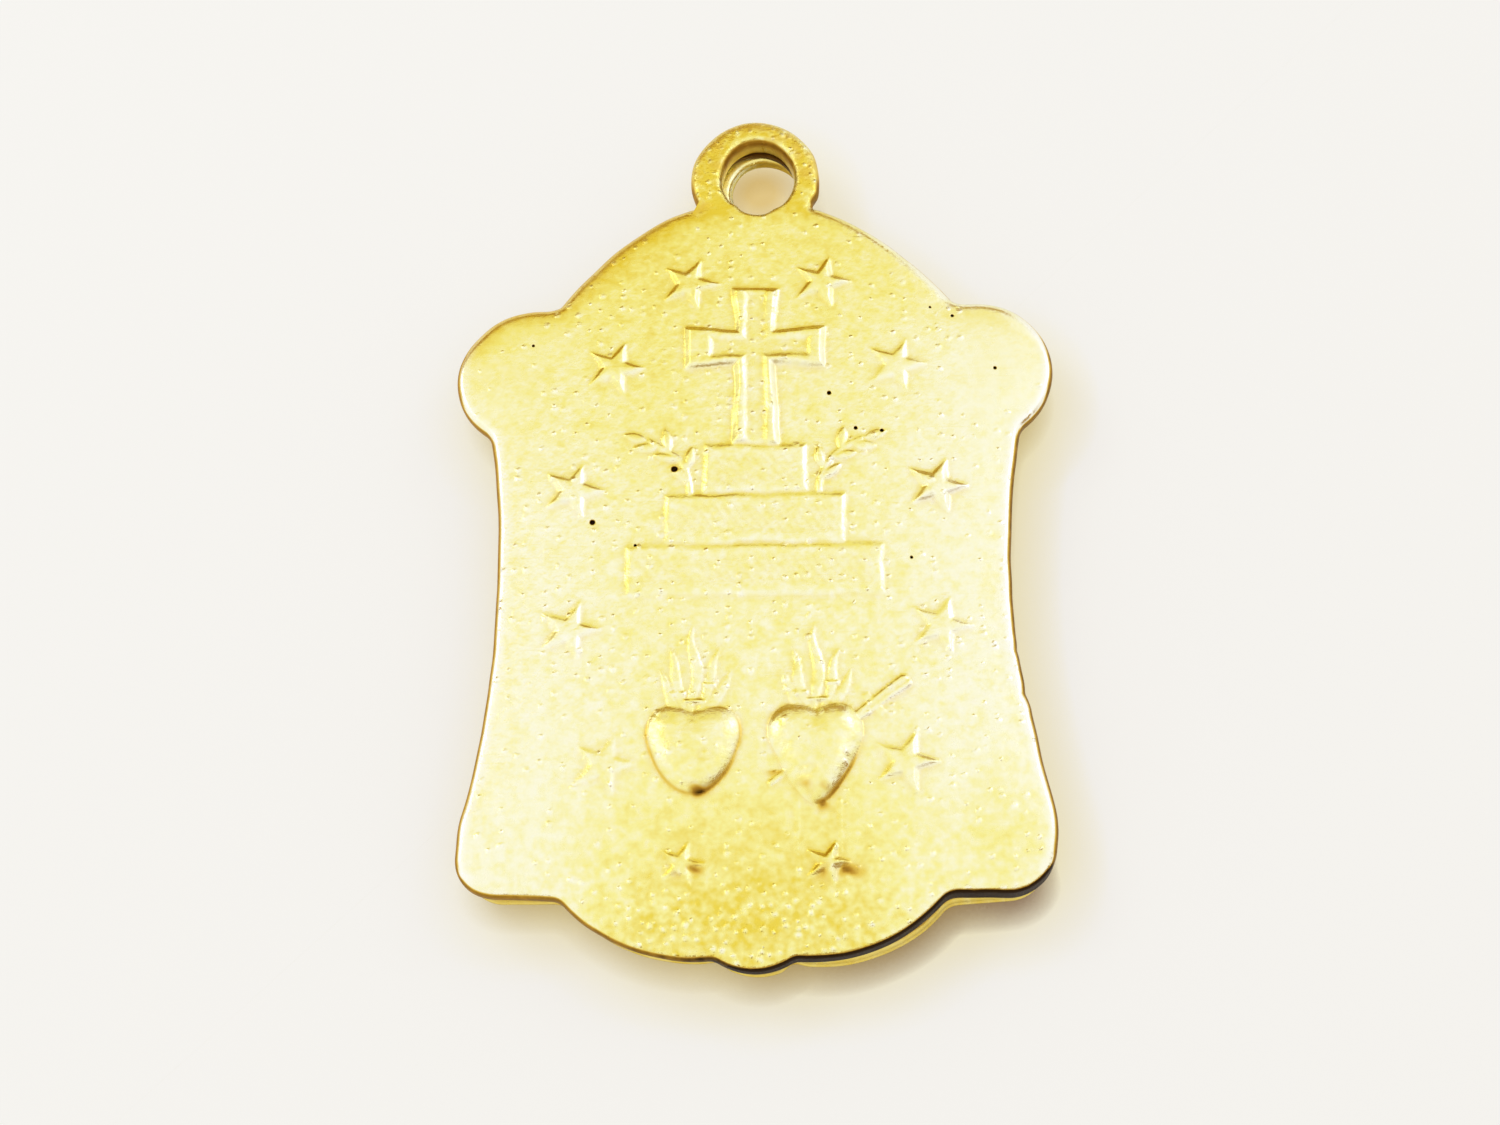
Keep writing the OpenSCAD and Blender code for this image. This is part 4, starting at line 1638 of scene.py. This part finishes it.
@dataclass
class FrontShell:
    """Struck front of the medal, hollow behind, with its rim, oval boss and half of the ear."""

    outline: Outline
    node: str = "front_shell"
    spacing: float = 0.085
    back_spacing: float = 0.22
    set_back: float = 0.38
    ear_set_back: float = 0.2
    foot_reach: tuple[Point, ...] = (
        (-7.4, 0.15), (-4.9, 0.16), (-2.0, 0.2), (0.0, 0.24), (2.0, 0.3),
        (4.2, 0.31), (5.4, 0.24), (6.3, 0.18), (7.4, 0.15),
    )
    edge_r: float = 0.24
    bead_r: float = 0.28
    ear_edge_r: float = 0.13
    hole_edge_r: float = 0.08
    hole_top_r: float = 0.15
    hole_r: float = 1.0
    hole_centre: Point = (0.27, 13.03)
    ear_t: float = 0.35
    rim_w: float = 0.42
    field_in: float = 0.7
    rim_z: float = 0.45
    rim_h: float = 0.6
    field_deep: float = 0.1
    scallops: int = 44
    boss_half_w: float = 4.4
    boss_half_h: float = 6.1
    frame_w: float = 0.55
    face_deep: float = 0.16
    ray_h: float = 0.08
    ray_count: int = 24
    ray_len: float = 3.3
    beads: int = 64
    cross_w: float = 0.5
    cross_len: float = 4.6
    stud_r: float = 0.62
    flute_count: int = 7
    flute_len: float = 1.9
    flute_w: float = 0.42
    flute_spread: float = 110.0
    sheet_t: float = 0.35
    flange_w: float = 0.65
    wall_bulge: float = 0.04

    def ear_share(self, y: Array) -> Array:
        """How far points belong to the ear, above the arch."""
        return smooth((y - self.outline.arch_top) / 0.35)

    def rims(self) -> list[Rim]:
        """Outer edge with its scalloped bead, and the ear's hole."""
        o = self.outline
        edge = o.loop()
        foot = smooth((o.foot_y + 1.2 - edge[:, 1]) / 0.6)
        reach = np.interp(edge[:, 0], *zip(*self.foot_reach))
        ear = self.ear_share(edge[:, 1] + 1.0)
        back = self.set_back + (self.ear_set_back - self.set_back) * ear - foot * reach
        over = self.edge_r + (self.ear_edge_r - self.edge_r) * ear
        under = self.bead_r + (self.ear_edge_r - self.bead_r) * ear
        edge = edge - outward(edge) * back[:, None]
        scrolls = (Dent((0.95, o.apron_y), 0.1, 0.2), Dent((-0.95, o.apron_y), 0.1, 0.2))
        edge = worn(edge, scrolls, waviness=0.02, seed=9)
        hole = egg(self.hole_centre, self.hole_r, self.hole_r, self.hole_r, 0.0, o.step)
        hole = worn(hole, (), waviness=0.02, seed=10)
        return [Rim(edge, over, under), Rim(hole, self.hole_top_r, self.hole_edge_r)]

    def boss_gap(self, x: Array, y: Array) -> Array:
        """Distance from the oval boss's edge, negative on the boss."""
        return oval_gap(x, y, self.boss_half_w, self.boss_half_h)

    def heights(self, face: PlateFace) -> Array:
        """Heights of the front's face, which looks down."""
        x, y = face.places.T
        edge = face.insets[0]
        field_z = self.rim_z + self.field_deep
        rim = smooth((self.rim_w - edge) / 0.25)
        scallop = 0.5 + 0.5 * np.cos(np.arctan2(y - 1.0, x) * self.scallops)
        z = field_z - self.field_deep * rim + 0.05 * rim * scallop * smooth((edge - 0.25) / 0.2)
        z = np.minimum(z, field_z - self._ornaments(x, y))
        gap = self.boss_gap(x, y)
        z = z - (field_z - self.face_deep) * smooth(0.5 - (gap + 0.06) / 0.3)
        z = z - self._boss(x, y, gap)
        z += CastSkin(seed=31, grain=0.004, coarse=front_coarseness).heights(x, y)
        ear = self.ear_share(y)
        z = z * (1.0 - ear) + (self.rim_z + self.rim_h - self.ear_t) * ear
        return np.maximum(z, 0.0) + face.drop

    def _ornaments(self, x: Array, y: Array) -> Array:
        """Studs on the lobes and corners, and the fluted shell on the apron."""
        o = self.outline
        z = np.zeros_like(x)
        corner = o.corner_r + self.field_in
        for cx, cy in ((o.lobe_x, o.shoulder_up), (o.foot_half - corner, o.foot_y + corner)):
            far = np.hypot(np.abs(x) - cx, y - cy)
            z = np.maximum(z, dome(far - self.stud_r, self.field_deep, self.stud_r))
            z = np.maximum(z, plateau(np.abs(far - self.stud_r - 0.2) - 0.05, 0.05, 0.12))
        foot = (0.0, o.apron_y + self.field_in)
        for k in range(self.flute_count):
            lean = self.flute_spread * (k / (self.flute_count - 1) - 0.5)
            px, py = turned(x, y, foot, lean)
            flute = lens_gap(px, py, self.flute_len, self.flute_w)
            z = np.maximum(z, dome(flute, self.field_deep, self.flute_w / 2.0))
        return z

    def _boss(self, x: Array, y: Array, gap: Array) -> Array:
        """Beaded frame, rays and plain cross of the oval boss."""
        along = np.arctan2(y / self.boss_half_h, x / self.boss_half_w)
        across = np.abs(gap + self.frame_w / 2.0) / (self.frame_w / 2.0)
        bead = 0.75 + 0.25 * np.cos(along * self.beads)
        frame = self.face_deep * np.sqrt(np.clip(1.0 - across**2, 0.0, 1.0)) * bead
        r, a = np.hypot(x, y), np.arctan2(y, x)
        fade = smooth((r - 0.7) / 0.6) * smooth((self.ray_len - r) / 0.5)
        rays = self.ray_h * np.clip(0.5 + 0.5 * np.cos(a * self.ray_count), 0.0, 1.0) ** 1.5 * fade
        long_half = (self.cross_len + self.ray_len) / 2.0
        upright = box_gap(x, y + self.cross_len - long_half, self.cross_w / 2.0, long_half)
        arms = box_gap(x, y, self.ray_len, self.cross_w / 2.0)
        cross = plateau(np.minimum(upright, arms), self.ray_h, 0.14)
        inner = np.maximum(rays, cross) * (gap < -self.frame_w)
        return np.where(gap < 0.1, np.maximum(frame, inner), 0.0)

    def back_heights(self, face: PlateFace, level: float) -> Array:
        """Heights of the shell's hidden side: a flange round a hollow that is deepest behind the boss.

        Args:
            face: The face, flat.
            level: Height of the flange.

        Returns:
            Heights of its points.
        """
        x, y = face.places.T
        ear = smooth((y - self.outline.arch_top + 1.2) / 0.2)
        pocket = smooth((face.insets[0] - self.flange_w) / 0.2) * (1.0 - ear)
        deep = smooth(-(self.boss_gap(x, y) + self.sheet_t) / 0.2)
        shallow_floor = level - self.rim_z - self.field_deep - self.sheet_t
        deep_floor = level - self.face_deep - self.sheet_t
        return level - face.drop - pocket * (shallow_floor + (deep_floor - shallow_floor) * deep)

    def build(self, material: bpy.types.Material, shift: Point) -> bpy.types.Object:
        """Models the shell where the CAD node is.

        Args:
            material: Finish of the front.
            shift: Move into the frame, in millimetres.

        Returns:
            The piece.
        """
        _, high = (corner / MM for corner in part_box(self.node))
        plate = Plate(self.rims())
        top, bottom = plate.face(True, self.back_spacing), plate.face(False, self.spacing)
        mesh, wall = plate.mesh("struck_front_shell", top, self.back_heights(top, high.z), bottom,
                                self.heights(bottom), shift, self.wall_bulge)
        hidden = np.arange(len(wall)) < len(top.places)
        self.dress(mesh, wall, hidden, plate, shift)
        return add_piece("struck_front_shell", mesh, material, self.node)

    def dress(self, mesh: bpy.types.Mesh, wall: Array, hidden: Array, plate: Plate, shift: Point) -> None:
        """Stores the plating with a painted highlight, the dirt with painted shade, and the coarseness of
        the surface.

        Args:
            mesh: The shell's mesh.
            wall: How far each point belongs to a wall.
            hidden: Which points lie on the side towards the back plate.
            plate: The plate that the mesh was made from.
            shift: Move into the frame, in millimetres.
        """
        x, y, _ = vertex_places(mesh).T / MM
        x, y = x - shift[0], y - shift[1]
        ear = self.ear_share(y + 0.6)
        # Painted shade in the seam groove on the hidden side, a deeper gold on the walls along the foot,
        # and painted shade on the right of the ear hole's wall.
        groove = 1.8 * smooth((0.3 - wall) / 0.3) * (1.0 - ear)
        edge = 0.3 * smooth(wall / 0.5) * smooth((self.outline.foot_y + 1.2 - y) / 0.6)
        inner = 0.5 * ear * smooth(wall / 0.6) * smooth((x + 0.3) / 0.6)
        # Painted highlight on the rim of the ear's hole, most on the left.
        hole_rim_highlight = bell(plate.rims[1].reach(np.stack((x, y), 1))[0], 0.3) * ear * hidden
        # Dirt and painted shade in the hollows of the front.
        front = 0.8 * hollows(mesh, reach=0.05, rounds=14)
        paint(mesh, "plating", 0.25 + hole_rim_highlight * (0.1 + 0.45 * smooth(-x / 0.6)))
        paint(mesh, "hollow", np.where(hidden, groove, front) + edge + inner)
        paint(mesh, "coarse", front_coarseness(x, y))


@dataclass
class SolderSeam:
    """Band of solder in the groove between the two layers; its CAD solid stays."""

    node: str = "solder_seam"

    def dress(self, nodes: dict[str, bpy.types.Object],
              material: bpy.types.Material) -> bpy.types.Object:
        """Gives the CAD solid its finish."""
        seam = nodes[self.node]
        seam.data.materials.clear()
        seam.data.materials.append(material)
        return seam


# Table, light and camera


def rectangle(name: str, half_w: float, half_h: float) -> bpy.types.Mesh:
    """Flat mesh round the origin."""
    mesh = bpy.data.meshes.new(name)
    signs = ((-1.0, -1.0), (1.0, -1.0), (1.0, 1.0), (-1.0, 1.0))
    mesh.from_pydata([(half_w * x, half_h * y, 0.0) for x, y in signs], [], [(0, 1, 2, 3)])
    return mesh


@dataclass(frozen=True)
class Table:
    """Plain pale table top that looks a little lifted and warm in the shadows, as in a bright photo."""

    half: float = 1.2
    colour: Colour = (0.925, 0.905, 0.87)
    shaded: Colour = (0.231, 0.272, 0.304)
    lifted: Colour = (0.679, 0.621, 0.556)
    light_side: tuple[float, float, float] = (-0.5, 0.25, 0.83)
    # Colours of the painted shadow where the medal touches, of the painted golden halo and of the painted
    # glow under the ear.
    contact: Colour = (0.45, 0.3, 0.0)
    contact_reach: float = 0.85
    contact_power: float = 1.25
    deep_contact: Colour = (0.15, 0.03, 0.0)
    deep_power: float = 1.8
    deep_from: float = 7.5
    deep_to: float = 12.0
    halo: Colour = (0.97, 0.87, 0.36)
    halo_reach: float = 2.0
    ear_glow: Colour = (0.93, 0.77, 0.46)
    ear_glow_at: Point = (0.1, 11.35)
    ear_glow_r: float = 1.3

    WHITE = (1.0, 1.0, 1.0)

    def build(self) -> bpy.types.Object:
        """Lays the table under the medal."""
        mesh = rectangle("table", self.half, self.half)
        mesh.materials.append(self.material())
        table = add_object("table", mesh)
        return table

    def _room(self, build: NodeBuilder, reach: float) -> bpy.types.NodeSocket:
        """How open the table is towards the light: 1 in the open, and less within reach of the medal."""
        side = build.node("ShaderNodeCombineXYZ", **dict(zip("XYZ", self.light_side))).outputs[0]
        room = build.node("ShaderNodeAmbientOcclusion", {"samples": 8}, Distance=reach * MM, Normal=side)
        return room.outputs["AO"]

    def _painted_shade_and_glow(self, build: NodeBuilder) -> bpy.types.NodeSocket:
        """Painted shadow and glow that the medal throws on the table: dark where they touch, golden further
        out, and a golden glow under the ear.
        """
        place = build.node("ShaderNodeSeparateXYZ", Vector=build.place())
        lower_right = build.math("SUBTRACT", place.outputs["X"], place.outputs["Y"])
        diagonal = math.sqrt(2.0) * MM
        lean = build.spread(lower_right, self.deep_from * diagonal, self.deep_to * diagonal)
        power = build.plus(build.times(lean, self.deep_power), self.contact_power)
        near = build.math("POWER", self._room(build, self.contact_reach), power)
        touching = build.mix(near, build.mix(lean, self.contact, self.deep_contact), self.WHITE)
        golden = build.mix(self._room(build, self.halo_reach), self.halo, self.WHITE)
        # Painted golden glow on the table under the ear's hole.
        away = build.node("ShaderNodeVectorMath", {"operation": "DISTANCE"})
        build.put(away.inputs[0], build.place())
        build.put(away.inputs[1], tuple(MM * c for c in (*self.ear_glow_at, 0.0)))
        glow_r = self.ear_glow_r * MM
        clear = build.spread(away.outputs["Value"], 0.3 * glow_r, glow_r)
        glow = build.mix(clear, self.ear_glow, self.WHITE)
        return build.mix(1.0, build.mix(1.0, touching, golden, "MULTIPLY"), glow, "MULTIPLY")

    def material(self) -> bpy.types.Material:
        """Plain matt finish for the light, and the lifted one for the eye."""
        made, build = new_material("pale_table")
        matt = build.node("ShaderNodeBsdfDiffuse", Color=self.colour)
        tint = self._painted_shade_and_glow(build)
        shade = build.node("ShaderNodeBsdfDiffuse", Color=build.mix(1.0, tint, self.shaded, "MULTIPLY"))
        lift = build.node("ShaderNodeEmission", Color=build.mix(1.0, tint, self.lifted, "MULTIPLY"),
                          Strength=1.0)
        seen = build.node("ShaderNodeAddShader")
        build.put(seen.inputs[0], shade.outputs[0])
        build.put(seen.inputs[1], lift.outputs[0])
        path = build.node("ShaderNodeLightPath")
        both = build.node("ShaderNodeMixShader", Fac=path.outputs["Is Camera Ray"])
        build.put(both.inputs[1], matt.outputs[0])
        build.put(both.inputs[2], seen.outputs[0])
        build.node("ShaderNodeOutputMaterial", Surface=both.outputs[0])
        return made


def aim(place: Vector, target: Vector) -> Matrix:
    """Matrix of a lamp or card at a place, with its face towards a target."""
    return Matrix.Translation(place) @ (target - place).to_track_quat("-Z", "Y").to_matrix().to_4x4()


def toward(azimuth: float, elevation: float) -> Vector:
    """Direction from the medal: azimuth 0 is its foot, and 90 its right."""
    a, e = math.radians(azimuth), math.radians(elevation)
    return Vector((math.sin(a) * math.cos(e), -math.cos(a) * math.cos(e), math.sin(e)))


@dataclass(frozen=True)
class Lamp:
    """Soft square lamp, seen from the medal."""

    name: str
    azimuth: float
    elevation: float
    distance: float
    side: float
    power: float
    colour: Colour
    glossy: bool

    def build(self) -> bpy.types.Object:
        """Hangs the lamp."""
        data = bpy.data.lights.new(self.name, "AREA")
        data.shape = "SQUARE"
        data.size = self.side
        data.energy = self.power
        data.color = self.colour
        lamp = add_object(self.name, data)
        lamp.matrix_world = aim(toward(self.azimuth, self.elevation) * self.distance, Vector())
        lamp.visible_glossy = self.glossy
        return lamp


@dataclass(frozen=True)
class Card:
    """Brown or golden card that only shows as a reflection, as the darker parts of a room do."""

    name: str
    azimuth: float
    elevation: float
    distance: float
    width: float
    height: float
    colour: Colour

    def build(self) -> bpy.types.Object:
        """Stands the card."""
        mesh = rectangle(self.name, self.width / 2.0, self.height / 2.0)
        made, build = new_material(self.name)
        glow = build.node("ShaderNodeEmission", Color=self.colour, Strength=1.0)
        build.node("ShaderNodeOutputMaterial", Surface=glow.outputs[0])
        mesh.materials.append(made)
        card = add_object(self.name, mesh)
        card.matrix_world = aim(toward(self.azimuth, self.elevation) * self.distance, Vector())
        card.visible_camera = card.visible_diffuse = card.visible_shadow = False
        return card


@dataclass(frozen=True)
class Sky:
    """White surroundings: full white to the eye and in reflections, and a softer warm light."""

    white: Colour = (1.0, 0.99, 0.97)
    fill: Colour = (0.86, 0.85, 0.83)

    def build(self) -> None:
        """Sets the world."""
        world = bpy.data.worlds.new("white_surroundings")
        bpy.context.scene.world = world
        world.use_nodes = True
        world.node_tree.nodes.clear()
        build = NodeBuilder(world.node_tree)
        path = build.node("ShaderNodeLightPath")
        seen = build.math("MAXIMUM", path.outputs["Is Camera Ray"], path.outputs["Is Glossy Ray"])
        seen = build.math("MAXIMUM", seen, path.outputs["Is Transmission Ray"])
        colour = build.mix(seen, self.fill, self.white)
        back = build.node("ShaderNodeBackground", Color=colour, Strength=1.0)
        build.node("ShaderNodeOutputWorld", Surface=back.outputs[0])


@dataclass(frozen=True)
class PhotoCamera:
    """Camera of the photograph, placed from the back's face."""

    azimuth: float = 3.98
    elevation: float = 63.5
    roll: float = -4.3
    distance: float = 68.06
    target: Point = (-0.126, 0.8)
    focal_px: float = 2600.0
    frame_px: float = 1500.0
    sensor: float = 36.0

    def build(self, face_z: float, shift: Point) -> bpy.types.Object:
        """Sets the scene's camera.

        Args:
            face_z: Height of the back's face, in millimetres.
            shift: Move from the waist's axes into the frame, in millimetres.

        Returns:
            The camera.
        """
        data = bpy.data.cameras.new("photo_camera")
        data.sensor_width = self.sensor
        data.lens = self.focal_px / self.frame_px * self.sensor
        data.clip_start, data.clip_end = 0.001, 10.0
        back = toward(self.azimuth, self.elevation)
        right = Vector((math.cos(math.radians(self.azimuth)), math.sin(math.radians(self.azimuth)), 0.0))
        up = back.cross(right)
        r = math.radians(self.roll)
        across, rise = right * math.cos(r) + up * math.sin(r), up * math.cos(r) - right * math.sin(r)
        middle = Vector((self.target[0] + shift[0], self.target[1] + shift[1], face_z))
        turn = Matrix((across, rise, back)).transposed().to_4x4()
        camera = add_object("photo_camera", data)
        camera.matrix_world = Matrix.Translation((middle + back * self.distance) * MM) @ turn
        bpy.context.scene.camera = camera
        return camera


LAMPS = (
    Lamp("key_lamp", azimuth=-125.0, elevation=48.0, distance=0.22, side=0.09, power=0.09,
         colour=(0.93, 0.97, 1.0), glossy=False),
    Lamp("left_glint", azimuth=-122.0, elevation=40.0, distance=0.2, side=0.06, power=0.016,
         colour=(1.0, 1.0, 1.0), glossy=True),
    Lamp("right_glint", azimuth=130.0, elevation=40.0, distance=0.2, side=0.06, power=0.016,
         colour=(1.0, 1.0, 1.0), glossy=True),
)
CARDS = (
    Card("far_card", azimuth=196.0, elevation=11.0, distance=0.25, width=0.36, height=0.12,
         colour=(0.48, 0.27, 0.03)),
    Card("haze_card", azimuth=198.0, elevation=41.0, distance=0.25, width=0.26, height=0.14,
         colour=(0.95, 0.88, 0.5)),
    Card("near_card", azimuth=15.0, elevation=38.0, distance=0.15, width=0.11, height=0.08,
         colour=(0.4, 0.23, 0.04)),
    Card("side_card", azimuth=64.0, elevation=27.0, distance=0.15, width=0.09, height=0.09,
         colour=(0.4, 0.22, 0.03)),
)


def main() -> None:
    """Builds the medal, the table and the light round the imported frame."""
    logging.basicConfig(level=logging.INFO, format="%(name)s: %(message)s")
    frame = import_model()
    bpy.context.scene.view_settings.view_transform = "Standard"
    outline = Outline()
    low, high = (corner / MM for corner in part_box("back_plate"))
    shift = ((low.x + high.x) / 2.0, high.y - outline.ear_y - outline.ear_r)
    back = BackPlate(outline)
    PhotoCamera().build(high.z - back.relief_top, shift)
    groups = {
        "cast_grain": cast_grain_group(),
        "plating": plating_group(),
        "grime_and_painted_shade": grime_and_shade_group(),
    }
    made = [
        back.build(GILT_BACK.material(groups), shift),
        FrontShell(outline).build(GILT_FRONT.material(groups), shift),
        SolderSeam().dress(frame["nodes"], DULL_SOLDER.material(groups)),
    ]
    for piece in made:
        LOG.info("%s: %d faces", piece.name, len(piece.data.polygons))
    Table().build()
    Sky().build()
    for thing in (*LAMPS, *CARDS):
        thing.build()


if __name__ == "__main__":
    main()
